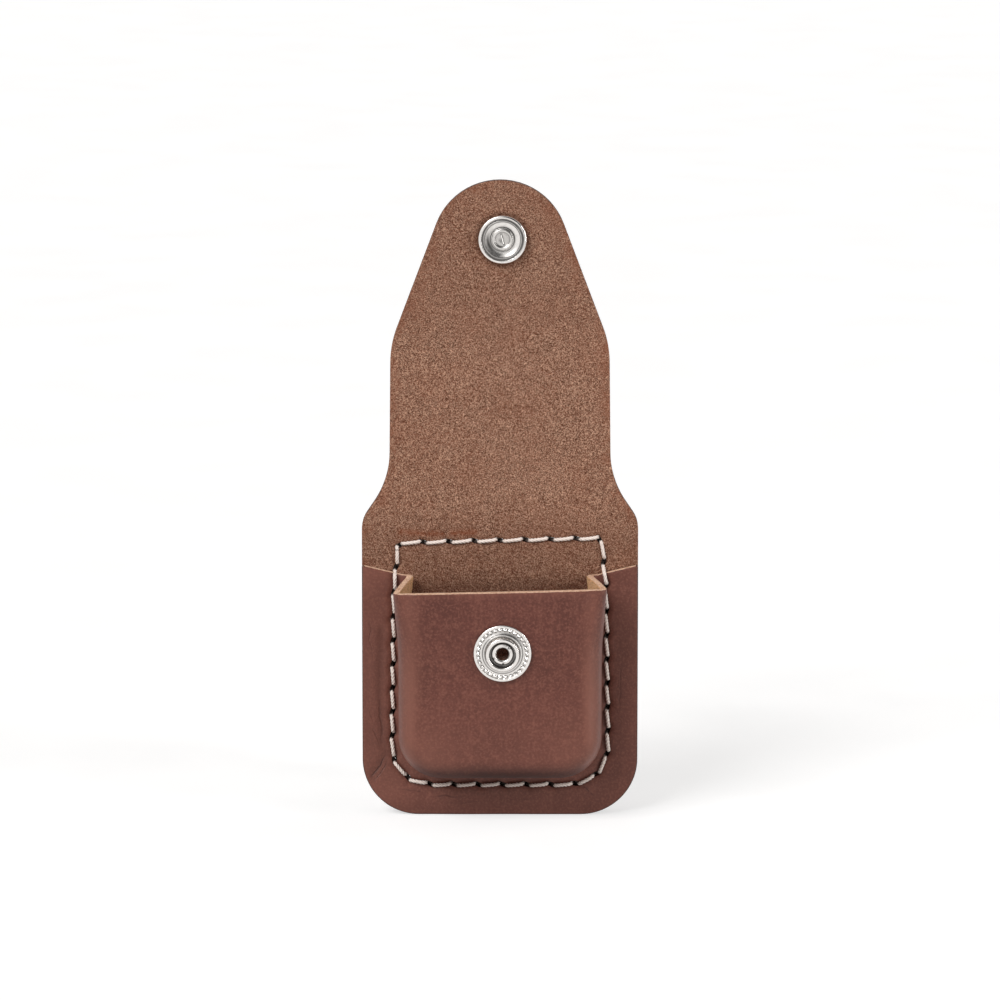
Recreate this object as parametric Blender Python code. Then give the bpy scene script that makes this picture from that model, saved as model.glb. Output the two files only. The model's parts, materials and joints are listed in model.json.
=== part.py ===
"""Leather belt pouch for a pocket lighter.

The back panel and the flap are one strip of thick leather with its rough side to the front.
A moulded box pocket is sewn to it with a saddle stitch that also holds a backing patch with
a spring clip for the belt. A press stud closes the flap over the pocket.

X runs to the right, the front of the pouch faces -Y, and +Z is up. The pieces are laid out
from the bottom edge of the pouch and the front side of its back panel, under one empty that
brings the belt's seat under the clip's bend to the origin.
"""

import math

import bmesh
import bpy
from mathutils import Vector

MM = 0.001

# Clearances between pieces
SEAT_GAP = 0.25 * MM
METAL_GAP = 0.15 * MM
FOLD_GAP = 0.2 * MM
CUT_OVERRUN = 2.0 * MM
WELD_DISTANCE = 0.001 * MM

# Leather
PANEL_THICKNESS = 1.8 * MM
PATCH_THICKNESS = 1.8 * MM
POCKET_THICKNESS = 1.6 * MM
LEATHER_EDGE_ROUND = 0.35 * MM

# Moulded pocket: its inner side is laid out, and the leather is added outward. Heights are
# from the bottom edge of the pouch, and all that lies above the mouth is set from it.
MOUTH_HEIGHT = 48.0 * MM
FLANGE_OUTER_RISE = 2.1 * MM
FLANGE_INNER_DROP = 0.3 * MM
FLANGE_OUTER_TOP = MOUTH_HEIGHT + FLANGE_OUTER_RISE
FLANGE_INNER_TOP = MOUTH_HEIGHT - FLANGE_INNER_DROP
POCKET_BASE_WIDTH = 36.8 * MM
POCKET_MOUTH_PINCH = 0.5 * MM
POCKET_FRONT_SPREAD = 0.3 * MM
POCKET_MOUTH_FLARE = 0.5 * MM
POCKET_MOUTH_BASE_WIDTH = POCKET_BASE_WIDTH - 2 * POCKET_MOUTH_PINCH
POCKET_FRONT_WIDTH = POCKET_BASE_WIDTH + 2 * POCKET_FRONT_SPREAD
POCKET_FLOOR_BACK = 10.0 * MM
POCKET_FLOOR_FRONT = 11.0 * MM
POCKET_DEPTH_LOW = 13.0 * MM
POCKET_TILT = math.radians(2.6)
POCKET_CORNER_RADIUS = 7.0 * MM
POCKET_ROOT_RADIUS = 2.2 * MM
POCKET_SIDE_EDGE_RADIUS = 1.3 * MM
POCKET_FOOT_EDGE_RADIUS = 3.6 * MM
POCKET_CROWN = 0.35 * MM
POCKET_CROWN_RISE = 9.0 * MM
MOUTH_GUSSET_LENGTH = 16.0 * MM
WALL_BOW_SHARES = ((0.22, 0.62), (0.6, 0.9))
SIDE_SHARES = (0, 0.18, 0.4, 0.7)
FLOOR_SHARES = (-0.6, 0, 0.6)

# Saddle stitch seam
SEAM_RISE_ABOVE_MOUTH = 8.0 * MM
SEAM_TOP_HEIGHT = MOUTH_HEIGHT + SEAM_RISE_ABOVE_MOUTH
SEAM_MARGIN_TOP = 2.05 * MM
SEAM_MARGIN_MOUTH = 2.9 * MM
SEAM_MARGIN_FOOT = 3.5 * MM
SEAM_TOP_WIDTH = POCKET_BASE_WIDTH + 2 * SEAM_MARGIN_TOP
SEAM_MOUTH_WIDTH = POCKET_BASE_WIDTH + 2 * SEAM_MARGIN_MOUTH
SEAM_FOOT_WIDTH = POCKET_BASE_WIDTH + 2 * SEAM_MARGIN_FOOT
SEAM_DROP_BELOW_MOUTH = 1.8 * MM
SEAM_MOUTH_HEIGHT = MOUTH_HEIGHT - SEAM_DROP_BELOW_MOUTH
SEAM_MOUTH_RADIUS = 20.0 * MM
SEAM_FOOT_HEIGHT = 6.2 * MM
SEAM_FOOT_RADIUS = 7.0 * MM
SEAM_TURN_ANGLE = math.radians(15)
STITCH_PITCH = 5.0 * MM
THREAD_DIAMETER = 0.8 * MM
THREAD_LIFT = 0.1 * MM
THREAD_ALONG = 0.35 * MM
THREAD_ASIDE = 0.55 * MM
THREAD_BEND = 0.5 * MM
SLIT_WIDTH = 1.06 * MM
SLIT_END_ROOM = 0.12 * MM

# Backing patch, up to past the seam's top row
PATCH_EDGE_ABOVE_SEAM = 3.4 * MM
PATCH_TOP = SEAM_TOP_HEIGHT + PATCH_EDGE_ABOVE_SEAM
PATCH_CORNER = 4.0 * MM

# Outline of the back panel with its flap
EDGE_BEYOND_SEAM = 5.85 * MM
PANEL_WIDTH = SEAM_FOOT_WIDTH + 2 * EDGE_BEYOND_SEAM
FOOT_RADIUS = 11.5 * MM
SHOULDER_ABOVE_PATCH = 0.8 * MM
SHOULDER_HEIGHT = PATCH_TOP + SHOULDER_ABOVE_PATCH
SHOULDER_RADIUS = 6.0 * MM
NECK_INSET = 5.55 * MM
NECK_WIDTH = PANEL_WIDTH - 2 * NECK_INSET
NECK_RISE = 8.2 * MM
NECK_HEIGHT = SHOULDER_HEIGHT + NECK_RISE
NECK_RADIUS = 18.0 * MM
TAPER_INSET = 0.3 * MM
TAPER_WIDTH = NECK_WIDTH - 2 * TAPER_INSET
TAPER_RISE = 27.3 * MM
TAPER_HEIGHT = NECK_HEIGHT + TAPER_RISE
TAPER_RADIUS = 20.0 * MM
TIP_RISE = 33.0 * MM
FLAP_TOP = TAPER_HEIGHT + TIP_RISE
TIP_RADIUS = 13.6 * MM

# Folds of the flap: each pivot lies a little off the leather's inner side
FOLD_OFFSET = 0.3 * MM

# Press stud, heights from the leather side that each part sits on
SNAP_OFFSET = 0.5 * MM
SOCKET_DROP_BELOW_TIP = 11.7 * MM
SOCKET_HEIGHT_ON_FLAP = FLAP_TOP - SOCKET_DROP_BELOW_TIP
STUD_DROP_BELOW_MOUTH = 11.8 * MM
STUD_HEIGHT_ON_POUCH = MOUTH_HEIGHT - STUD_DROP_BELOW_MOUTH
SNAP_HOLE_RADIUS = 2.0 * MM
SHEET_METAL = 0.4 * MM

CAP_RADIUS = 6.25 * MM
CAP_DOME = 1.5 * MM
CAP_RIM = 0.35 * MM
POST_RADIUS = 1.7 * MM
POST_BORE_RADIUS = 1.45 * MM
POST_ROLL_RADIUS = 2.2 * MM
POST_ROLL_HEIGHT = 0.55 * MM
POST_FLOOR = 0.5 * MM

SOCKET_RADIUS = 4.85 * MM
SOCKET_HEIGHT = 1.6 * MM
SOCKET_MOUTH_RADIUS = 3.5 * MM
SOCKET_CHAMBER_RADIUS = 3.95 * MM
SOCKET_GROOVE_RADIUS = 4.15 * MM
SOCKET_GROOVE = 0.25 * MM
SOCKET_LIP = 0.35 * MM
SPRING_WIRE = 0.34 * MM
SPRING_RADIUS = 3.68 * MM

STUD_RIM_RADIUS = 5.75 * MM
STUD_RIM_HEIGHT = 0.6 * MM
STUD_BEADS = 30
STUD_BEAD_HEIGHT = 0.18 * MM
STUD_BEAD_RADIUS = 5.0 * MM
STUD_STEP_RADIUS = 4.05 * MM
STUD_STEP_HEIGHT = 0.25 * MM
STUD_NECK_RADIUS = 2.95 * MM
STUD_HEAD_RADIUS = 3.35 * MM
STUD_BORE_RADIUS = 2.65 * MM
STUD_HEAD_BAND = 0.4 * MM
EYELET_RADIUS = 1.5 * MM
EYELET_BORE_RADIUS = 1.25 * MM
EYELET_ROLL_RADIUS = 2.25 * MM
EYELET_ROLL_HEIGHT = 0.6 * MM
EYELET_FLANGE_RADIUS = 4.0 * MM
EYELET_FLANGE = 0.45 * MM

# Belt clip
CLIP_WIDTH = 25.0 * MM
CLIP_STEEL = 1.0 * MM
BELT_GAP = 6.0 * MM
CLIP_BEND_BELOW_PATCH_TOP = 9.4 * MM
CLIP_BEND_HEIGHT = PATCH_TOP - CLIP_BEND_BELOW_PATCH_TOP
CLIP_TONGUE_STRAIGHT = 17.0 * MM
CLIP_TONGUE_FOOT = 7.0 * MM
CLIP_BELLY = 2.2 * MM
CLIP_BELLY_HEIGHT = 12.0 * MM
CLIP_FLARE = 1.2 * MM
CLIP_CORNER_LENGTH = 4.0 * MM
CLIP_CORNER_CUT = 3.0 * MM
CLIP_SPLIT_GAP = 0.3 * MM
ACCESS_HOLE_RADIUS = 4.2 * MM

# Rivets of the clip, down from its bend
RIVET_UPPER_DROP = 9.0 * MM
RIVET_SPACING = 16.0 * MM
RIVET_FOOT_MARGIN = 8.0 * MM
RIVET_UPPER_HEIGHT = CLIP_BEND_HEIGHT - RIVET_UPPER_DROP
RIVET_LOWER_HEIGHT = RIVET_UPPER_HEIGHT - RIVET_SPACING
RIVETS = (("upper", RIVET_UPPER_HEIGHT), ("lower", RIVET_LOWER_HEIGHT))
CLIP_BASE_FOOT = RIVET_LOWER_HEIGHT - RIVET_FOOT_MARGIN
RIVET_SHANK_RADIUS = 1.5 * MM
RIVET_HOLE_ROOM = 0.2 * MM
RIVET_HEAD_RADIUS = 3.4 * MM
RIVET_HEAD_HEIGHT = 0.9 * MM
RIVET_CLINCH_RADIUS = 2.3 * MM
RIVET_CLINCH = 0.25 * MM
BURR_RADIUS = 3.6 * MM
BURR_THICKNESS = 0.4 * MM
RECESS_ROOM = 0.5 * MM
RECESS_DEPTH = 1.1 * MM

# Counts of facets
ARC_STEPS = 6
TIP_STEPS = 16
SEAM_ARC_STEPS = 12
TURN_STEPS = 28
SMALL_TURN_STEPS = 18
WIRE_STEPS = 5
BEND_STEPS = 6

# Layers from the front side of the back panel, toward the back
PATCH_FRONT = PANEL_THICKNESS + SEAT_GAP
PATCH_BACK = PATCH_FRONT + PATCH_THICKNESS
CLIP_BASE_FRONT = PATCH_BACK + SEAT_GAP
CLIP_BASE_BACK = CLIP_BASE_FRONT + CLIP_STEEL
CLIP_TONGUE_FRONT = CLIP_BASE_BACK + BELT_GAP
CLIP_BEND_RADIUS = (BELT_GAP + CLIP_STEEL) / 2
CLIP_BEND_DEPTH = CLIP_BASE_FRONT + CLIP_STEEL / 2 + CLIP_BEND_RADIUS
FLANGE_FLESH = -SEAT_GAP
FLANGE_GRAIN = FLANGE_FLESH - POCKET_THICKNESS
BELT_SEAT = Vector((0, CLIP_BEND_DEPTH, CLIP_BEND_HEIGHT + BELT_GAP / 2))

# Heights of the press stud's parts above the leather
METAL_FLOOR = SEAT_GAP + SHEET_METAL
STUD_RIM_TOP = SEAT_GAP + STUD_RIM_HEIGHT
STUD_STEP_TOP = STUD_RIM_TOP + STUD_STEP_HEIGHT
SOCKET_TOP = SEAT_GAP + SOCKET_HEIGHT
SNAP_STACK = STUD_STEP_TOP + METAL_GAP + SOCKET_TOP
STUD_TOP = SNAP_STACK - METAL_FLOOR - METAL_GAP

LEATHER_FLESH = ("leather_flesh", (0.25, 0.13, 0.085), 0.95, 0)
LEATHER_BRIDGE = ("leather_bridge", (0.27, 0.145, 0.095), 0.95, 0)
LEATHER_TONGUE = ("leather_tongue", (0.26, 0.14, 0.09), 0.95, 0)
LEATHER_GRAIN = ("leather_grain", (0.15, 0.065, 0.05), 0.5, 0)
LEATHER_PATCH = ("leather_patch", (0.13, 0.06, 0.045), 0.55, 0)
THREAD_ONE = ("thread_one", (0.72, 0.6, 0.52), 0.8, 0)
THREAD_TWO = ("thread_two", (0.7, 0.58, 0.5), 0.8, 0)
NICKEL = (0.62, 0.6, 0.57)
STEEL = (0.5, 0.5, 0.5)


def clear_scene():
    """Removes every object and material that the scene holds."""
    for old in list(bpy.data.objects):
        bpy.data.objects.remove(old, do_unlink=True)
    for old in list(bpy.data.materials):
        bpy.data.materials.remove(old)


def material(name, colour, roughness, metallic):
    """Makes the material of one piece."""
    made = bpy.data.materials.new(name)
    made.use_nodes = True
    shader = made.node_tree.nodes["Principled BSDF"]
    shader.inputs["Base Color"].default_value = (*colour, 1)
    shader.inputs["Roughness"].default_value = roughness
    shader.inputs["Metallic"].default_value = metallic
    made.diffuse_color = (*colour, 1)
    return made


def metal(name, colour, roughness):
    """Makes the values of a metal piece's material."""
    return (name, colour, roughness, 1)


def empty(name, place, parent=None):
    """Adds an empty at a place of the pouch, under its parent."""
    made = bpy.data.objects.new(name, None)
    made.empty_display_size = PANEL_WIDTH / 4
    bpy.context.collection.objects.link(made)
    put(made, place, parent)
    return made


def put(thing, place, parent):
    """Places an object at a point of the pouch while its parent keeps its own place."""
    thing["pouch_place"] = tuple(place)
    thing.location = Vector(place)
    if parent is not None:
        thing.parent = parent
        thing.location -= Vector(parent["pouch_place"])


def piece(name, mesh_builder, finish, parent, place=(0, 0, 0), tilt=0):
    """Turns a finished bmesh into the object of one piece, a closed one facing outward."""
    mesh = bpy.data.meshes.new(name)
    if not any(edge.is_boundary for edge in mesh_builder.edges):
        bmesh.ops.recalc_face_normals(mesh_builder, faces=mesh_builder.faces)
    mesh_builder.to_mesh(mesh)
    mesh_builder.free()
    made = bpy.data.objects.new(name, mesh)
    bpy.context.collection.objects.link(made)
    mesh.materials.append(material(*finish))
    put(made, place, parent)
    made.rotation_euler = (tilt, 0, 0)
    return made


def cutter(name, mesh_builder, parent, place=(0, 0, 0), tilt=0):
    """Makes an object that only cuts others."""
    mesh = bpy.data.meshes.new(name)
    bmesh.ops.recalc_face_normals(mesh_builder, faces=mesh_builder.faces)
    mesh_builder.to_mesh(mesh)
    mesh_builder.free()
    made = bpy.data.objects.new(name, mesh)
    bpy.context.collection.objects.link(made)
    made.hide_render = True
    made.display_type = "WIRE"
    put(made, place, parent)
    made.rotation_euler = (tilt, 0, 0)
    return made


def cut(target, tool):
    """Cuts one object by another with a Boolean modifier."""
    modifier = target.modifiers.new("cut_" + tool.name, "BOOLEAN")
    modifier.operation = "DIFFERENCE"
    modifier.solver = "EXACT"
    modifier.object = tool


def soften(target, width, segments=2):
    """Rounds the sharp edges of a piece with a Bevel modifier."""
    modifier = target.modifiers.new("edge_round", "BEVEL")
    modifier.width = width
    modifier.segments = segments
    modifier.limit_method = "ANGLE"


def shade(target, angle=math.radians(35)):
    """Shades a round piece smooth between its sharp edges."""
    target.data.shade_smooth()
    target.data.set_sharp_from_angle(angle=angle)


def rounded_outline(corners):
    """Gives the points of a closed outline whose corners (x, z, radius, steps) are rounded."""
    points = []
    for index, (x, z, radius, steps) in enumerate(corners):
        corner = Vector((x, z))
        if not steps:
            points.append(corner)
            continue
        before = (Vector(corners[index - 1][:2]) - corner).normalized()
        after = (Vector(corners[(index + 1) % len(corners)][:2]) - corner).normalized()
        half_angle = before.angle(after) / 2
        centre = corner + (before + after).normalized() * radius / math.sin(half_angle)
        arm = corner + before * radius / math.tan(half_angle) - centre
        side = math.copysign(1, after.x * before.y - after.y * before.x)
        turn = side * (math.pi - 2 * half_angle)
        for step in range(steps + 1):
            angle = turn * step / steps
            points.append(centre + Vector((
                arm.x * math.cos(angle) - arm.y * math.sin(angle),
                arm.x * math.sin(angle) + arm.y * math.cos(angle))))
    return points


def clipped(outline, low, high):
    """Keeps the part of an outline between two heights."""
    for limit, sign in ((low, 1), (high, -1)):
        kept = []
        for index, point in enumerate(outline):
            last = outline[index - 1]
            if (last.y - limit) * (point.y - limit) < 0:
                share = (limit - last.y) / (point.y - last.y)
                kept.append(last.lerp(point, share))
            if (point.y - limit) * sign >= 0:
                kept.append(point)
        outline = kept
    return outline


def plate(outline, front, thickness):
    """Builds a flat plate from an outline in X and Z."""
    builder = bmesh.new()
    face = builder.faces.new([builder.verts.new((p.x, front, p.y)) for p in outline])
    grown = bmesh.ops.extrude_face_region(builder, geom=[face])["geom"]
    moved = [item for item in grown if isinstance(item, bmesh.types.BMVert)]
    bmesh.ops.translate(builder, verts=moved, vec=(0, thickness, 0))
    return builder


def rod(radius, low, high, steps=SMALL_TURN_STEPS):
    """Builds a round rod along Z between two heights."""
    builder = bmesh.new()
    ring = []
    for step in range(steps):
        angle = 2 * math.pi * step / steps
        ring.append(builder.verts.new((radius * math.cos(angle), radius * math.sin(angle), low)))
    grown = bmesh.ops.extrude_face_region(builder, geom=[builder.faces.new(ring)])["geom"]
    moved = [item for item in grown if isinstance(item, bmesh.types.BMVert)]
    bmesh.ops.translate(builder, verts=moved, vec=(0, 0, high - low))
    return builder


def turned(profile, steps=TURN_STEPS):
    """Turns a closed profile of (radius, height) points round Z."""
    builder = bmesh.new()
    verts = [builder.verts.new((radius, 0, height)) for radius, height in profile]
    edges = [builder.edges.new((verts[index - 1], vert)) for index, vert in enumerate(verts)
             if verts[index - 1].co.x > 0 or vert.co.x > 0]
    bmesh.ops.spin(builder, geom=verts + edges, cent=(0, 0, 0), axis=(0, 0, 1),
                   angle=2 * math.pi, steps=steps, use_merge=True)
    bmesh.ops.remove_doubles(builder, verts=builder.verts, dist=WELD_DISTANCE)
    return builder


# Closing the flap

def pocket_depth(height):
    """Gives the depth of the pocket's inner front side at a height."""
    return POCKET_DEPTH_LOW + (height - POCKET_FLOOR_FRONT) * math.tan(POCKET_TILT)


def stud_seat():
    """Gives the stud's seat on the pocket's grain side, on the stud's axis."""
    depth = pocket_depth(STUD_HEIGHT_ON_POUCH) + POCKET_THICKNESS / math.cos(POCKET_TILT)
    return Vector((SNAP_OFFSET, -depth - POCKET_CROWN, STUD_HEIGHT_ON_POUCH))


def fold_heights():
    """Solves the two fold heights that bring the socket onto the stud when closed."""
    tilt = POCKET_TILT
    seat = stud_seat()
    target_y = seat.y - SNAP_STACK * math.cos(tilt) + FOLD_OFFSET * math.cos(tilt)
    target_z = seat.z - SNAP_STACK * math.sin(tilt) + FOLD_OFFSET * math.sin(tilt)
    # From the front fold the flap runs down along the face to the socket's axis, and the
    # bridge runs level from the back fold to the front fold.
    level = -FOLD_OFFSET - target_y
    reach = (SOCKET_HEIGHT_ON_FLAP - target_z - level) / (1 + math.cos(tilt) + math.sin(tilt))
    back_fold = target_z + reach * math.cos(tilt)
    front_fold = SOCKET_HEIGHT_ON_FLAP - reach
    return back_fold, front_fold


# Leather panels

def panel_outline():
    """Gives the outline of the back panel and its flap in one piece."""
    half = PANEL_WIDTH / 2
    neck = NECK_WIDTH / 2
    taper = TAPER_WIDTH / 2
    drop = FLAP_TOP - TIP_RADIUS - TAPER_HEIGHT
    lean = math.atan2(taper, drop) - math.asin(TIP_RADIUS / math.hypot(taper, drop))
    apex = TAPER_HEIGHT + taper / math.tan(lean)
    side = [
        (half, 0, FOOT_RADIUS, ARC_STEPS),
        (half, SHOULDER_HEIGHT, SHOULDER_RADIUS, 3),
        (neck, NECK_HEIGHT, NECK_RADIUS, ARC_STEPS),
        (taper, TAPER_HEIGHT, TAPER_RADIUS, 4),
    ]
    mirrored = [(-x, z, radius, steps) for x, z, radius, steps in reversed(side)]
    return rounded_outline(side + [(0, apex, TIP_RADIUS, TIP_STEPS)] + mirrored)


def patch_outline():
    """Gives the outline of the backing patch."""
    half = PANEL_WIDTH / 2
    return rounded_outline([
        (half, 0, FOOT_RADIUS, ARC_STEPS),
        (half, PATCH_TOP, PATCH_CORNER, 3),
        (-half, PATCH_TOP, PATCH_CORNER, 3),
        (-half, 0, FOOT_RADIUS, ARC_STEPS),
    ])


# Moulded pocket

class Station:
    """One place along the pocket's outline, from the left top round to the right top."""

    def __init__(self, side, run_share=1, corner_angle=0, floor_share=1):
        self.side = side
        self.run_share = run_share
        self.corner_angle = corner_angle
        self.floor_share = floor_share

    def on(self, width, floor, radius, top):
        """Gives the point on an outline with this width, floor, corner radius and top."""
        centre = Vector((width / 2 - radius, floor + radius))
        if self.run_share < 1:
            point = Vector((width / 2, top + (centre.y - top) * self.run_share))
        else:
            point = Vector((centre.x * self.floor_share, centre.y)) + radius * Vector((
                math.cos(self.corner_angle), -math.sin(self.corner_angle)))
        return Vector((self.side * point.x, point.y))

    def outward(self):
        """Gives the direction away from the pocket's middle."""
        return Vector((self.side * math.cos(self.corner_angle), -math.sin(self.corner_angle)))

    def foot_share(self):
        """Gives 0 on the sides and 1 on the floor, smooth between."""
        return math.sin(self.corner_angle)


def stations():
    """Lists the places along the pocket's outline."""
    left = [Station(-1, share) for share in SIDE_SHARES]
    left += [Station(-1, 1, math.pi / 2 * step / ARC_STEPS) for step in range(ARC_STEPS + 1)]
    right = [Station(1, s.run_share, s.corner_angle) for s in reversed(left)]
    floor = [Station(1, 1, math.pi / 2, share) for share in FLOOR_SHARES]
    return left + floor + right


def pocket_rings():
    """Gives the rings of points on the pocket's inner side, from the flange to the face."""
    places = stations()
    rings = [[] for _ in range(10)]
    for place in places:
        half = PANEL_WIDTH / 2
        edge = place.on(2 * half, 0, FOOT_RADIUS, FLANGE_OUTER_TOP)
        foot = place.on(POCKET_BASE_WIDTH, POCKET_FLOOR_BACK, POCKET_CORNER_RADIUS,
                        FLANGE_INNER_TOP)
        rise = max(0, 1 - (MOUTH_HEIGHT - foot.y) / MOUTH_GUSSET_LENGTH)
        foot.x -= place.side * POCKET_MOUTH_PINCH * rise ** 2
        front = place.on(POCKET_FRONT_WIDTH, POCKET_FLOOR_FRONT, POCKET_CORNER_RADIUS,
                         MOUTH_HEIGHT)
        front.x += place.side * POCKET_MOUTH_FLARE * rise ** 2
        outward = place.outward()
        edge_radius = POCKET_SIDE_EDGE_RADIUS + place.foot_share() * (
            POCKET_FOOT_EDGE_RADIUS - POCKET_SIDE_EDGE_RADIUS)
        depth = pocket_depth(front.y)
        root = -FLANGE_FLESH + POCKET_ROOT_RADIUS
        rings[0].append((edge.x, FLANGE_FLESH, edge.y))
        for ring, angle in zip(rings[1:4], (0, math.pi / 4, math.pi / 2)):
            spot = foot + outward * POCKET_ROOT_RADIUS * (1 - math.sin(angle))
            if place.run_share == 0:
                spot.y = FLANGE_INNER_TOP
            ring.append((spot.x, FLANGE_FLESH - POCKET_ROOT_RADIUS * (1 - math.cos(angle)),
                         spot.y))
        wall_end = depth - edge_radius
        for ring, (share, bow) in zip(rings[4:6], WALL_BOW_SHARES):
            spot = foot.lerp(front, bow)
            ring.append((spot.x, -root - (wall_end - root) * share, spot.y))
        for ring, angle in zip(rings[6:10], (0, math.pi / 6, math.pi / 3, math.pi / 2)):
            inset = edge_radius * (1 - math.cos(angle))
            spot = front - outward * inset
            ring.append((spot.x, -depth + edge_radius * (1 - math.sin(angle)), spot.y))
    return rings


def pocket_shell():
    """Builds the inner side of the pocket as an open surface that faces outward."""
    builder = bmesh.new()
    rings = [[builder.verts.new(point) for point in ring] for ring in pocket_rings()]
    for low, high in zip(rings, rings[1:]):
        for index in range(len(low) - 1):
            builder.faces.new((low[index], low[index + 1], high[index + 1], high[index]))
    rim = rings[-1]
    last = len(SIDE_SHARES) + ARC_STEPS
    lowest = rim[last].co.z
    rows = []
    for index in range(last):
        left, right = rim[index], rim[-1 - index]
        rise = min((left.co.z - lowest) / POCKET_CROWN_RISE, 1)
        row = [left]
        for share in FLOOR_SHARES:
            spot = left.co.lerp(right.co, (1 + share) / 2)
            bulge = math.cos(math.pi / 2 * share) * rise * (2 - rise)
            spot.y -= POCKET_CROWN * bulge
            row.append(builder.verts.new(spot))
        rows.append(row + [right])
    rows.append(rim[last:-last])
    for upper, lower in zip(rows, rows[1:]):
        for index in range(len(upper) - 1):
            builder.faces.new((upper[index], lower[index], lower[index + 1], upper[index + 1]))
    return builder


def pocket_piece(parent):
    """Makes the moulded pocket with its leather thickness."""
    made = piece("pocket_front", pocket_shell(), LEATHER_GRAIN, parent)
    skin = made.modifiers.new("leather", "SOLIDIFY")
    skin.thickness = POCKET_THICKNESS
    skin.offset = 1
    skin.use_even_offset = True
    return made


# Seam

def seam_corner_points():
    """Gives the seam's closed path with its two sharp top corners first."""
    top, mouth, foot = SEAM_TOP_WIDTH / 2, SEAM_MOUTH_WIDTH / 2, SEAM_FOOT_WIDTH / 2
    return rounded_outline([
        (-top, SEAM_TOP_HEIGHT, 0, 0),
        (top, SEAM_TOP_HEIGHT, 0, 0),
        (mouth, SEAM_MOUTH_HEIGHT, SEAM_MOUTH_RADIUS, SEAM_ARC_STEPS),
        (foot, SEAM_FOOT_HEIGHT, SEAM_FOOT_RADIUS, SEAM_ARC_STEPS),
        (-foot, SEAM_FOOT_HEIGHT, SEAM_FOOT_RADIUS, SEAM_ARC_STEPS),
        (-mouth, SEAM_MOUTH_HEIGHT, SEAM_MOUTH_RADIUS, SEAM_ARC_STEPS),
    ])


def even_steps(path):
    """Gives the starts of an even number of equal stitches along a path."""
    lengths = [(b - a).length for a, b in zip(path, path[1:])]
    total = sum(lengths)
    count = 2 * max(1, round(total / STITCH_PITCH / 2))
    starts = []
    for index in range(count):
        left = total * index / count
        for (a, b), length in zip(zip(path, path[1:]), lengths):
            if left < length:
                break
            left -= length
        starts.append(a.lerp(b, left / length))
    return starts


def slit_places():
    """Lists each slit of the seam as its centre and the arm to the thread that goes in.

    The thread that comes out is at the other end of the arm. Where the seam turns, the arm
    points straight inward, so that the two threads pass each other on both sides.
    """
    path = seam_corner_points()
    centres = even_steps(path[:2]) + even_steps(path[1:] + path[:1])
    places = []
    for index, centre in enumerate(centres):
        before = (centre - centres[index - 1]).normalized()
        after = (centres[(index + 1) % len(centres)] - centre).normalized()
        along = (before + after).normalized()
        aside = Vector((-along.y, along.x))
        arm = aside * THREAD_ASIDE - along * THREAD_ALONG
        if before.angle(after) > SEAM_TURN_ANGLE:
            arm = -aside * arm.length
        places.append((centre, arm))
    return places


def slit_cutter(places, parent):
    """Makes the knife for all slits, one slanted prism each."""
    half_length = math.hypot(THREAD_ALONG, THREAD_ASIDE) + THREAD_DIAMETER / 2 + SLIT_END_ROOM
    half_width = SLIT_WIDTH / 2
    shoulder = half_length - half_width
    front = FLANGE_GRAIN - CUT_OVERRUN
    builder = bmesh.new()
    for centre, arm in places:
        long_way = arm.normalized()
        short_way = Vector((-long_way.y, long_way.x))
        outline = []
        for reach, width in ((shoulder, half_width), (half_length, half_width / 2),
                             (half_length, -half_width / 2), (shoulder, -half_width),
                             (-shoulder, -half_width), (-half_length, -half_width / 2),
                             (-half_length, half_width / 2), (-shoulder, half_width)):
            outline.append(centre + long_way * reach + short_way * width)
        face = builder.faces.new([builder.verts.new((p.x, front, p.y)) for p in outline])
        grown = bmesh.ops.extrude_face_region(builder, geom=[face])["geom"]
        moved = [item for item in grown if isinstance(item, bmesh.types.BMVert)]
        bmesh.ops.translate(builder, verts=moved,
                            vec=(0, PATCH_BACK + CUT_OVERRUN - front, 0))
    return cutter("stitching_awl", builder, parent)


def flange_top(x):
    """Gives the height of the flange's top edge at a distance from the middle."""
    inner = POCKET_MOUTH_BASE_WIDTH / 2 + POCKET_ROOT_RADIUS
    share = (abs(x) - inner) / (PANEL_WIDTH / 2 - inner)
    return FLANGE_INNER_TOP + (FLANGE_OUTER_TOP - FLANGE_INNER_TOP) * share


def front_level(spot):
    """Gives the front side that a stitch lies on at a place."""
    on_pocket = spot.y < flange_top(spot.x)
    return FLANGE_GRAIN if on_pocket else 0


def thread_points(places, first):
    """Gives the closed route of one thread, in and out of each slit by turns."""
    lift = THREAD_DIAMETER / 2 + THREAD_LIFT
    count = len(places)

    def hole(index):
        centre, arm = places[index % count]
        going_in = (index + first) % 2 == 0
        return centre + arm if going_in else centre - arm

    route = []
    for index in range(count):
        spot = hole(index)
        arriving = (hole(index - 1 + count) - spot).normalized()
        leaving = (hole(index + 1) - spot).normalized()
        front, back = front_level(places[index][0]), PATCH_BACK
        front_way, back_way = arriving, leaving
        going_in = (index + first) % 2 == 0
        if not going_in:
            front_way, back_way = leaving, arriving
        near = spot + front_way * THREAD_BEND
        far = spot + back_way * THREAD_BEND
        leg = [(near.x, front - lift, near.y), (spot.x, front, spot.y),
               (spot.x, back, spot.y), (far.x, back + lift, far.y)]
        if not going_in:
            leg.reverse()
        route += leg
        if not going_in:
            # This stitch shows on the front: it climbs over the flange's edge where it meets it.
            next_front = front_level(places[(index + 1) % count][0])
            if next_front != front:
                there = hole(index + 1)
                edge = flange_top((spot.x + there.x) / 2) + lift
                share = (edge - spot.y) / (there.y - spot.y)
                crest = spot.lerp(there, min(max(share, 0), 1))
                route.append((crest.x, FLANGE_GRAIN - lift, crest.y))
    return route


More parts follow.
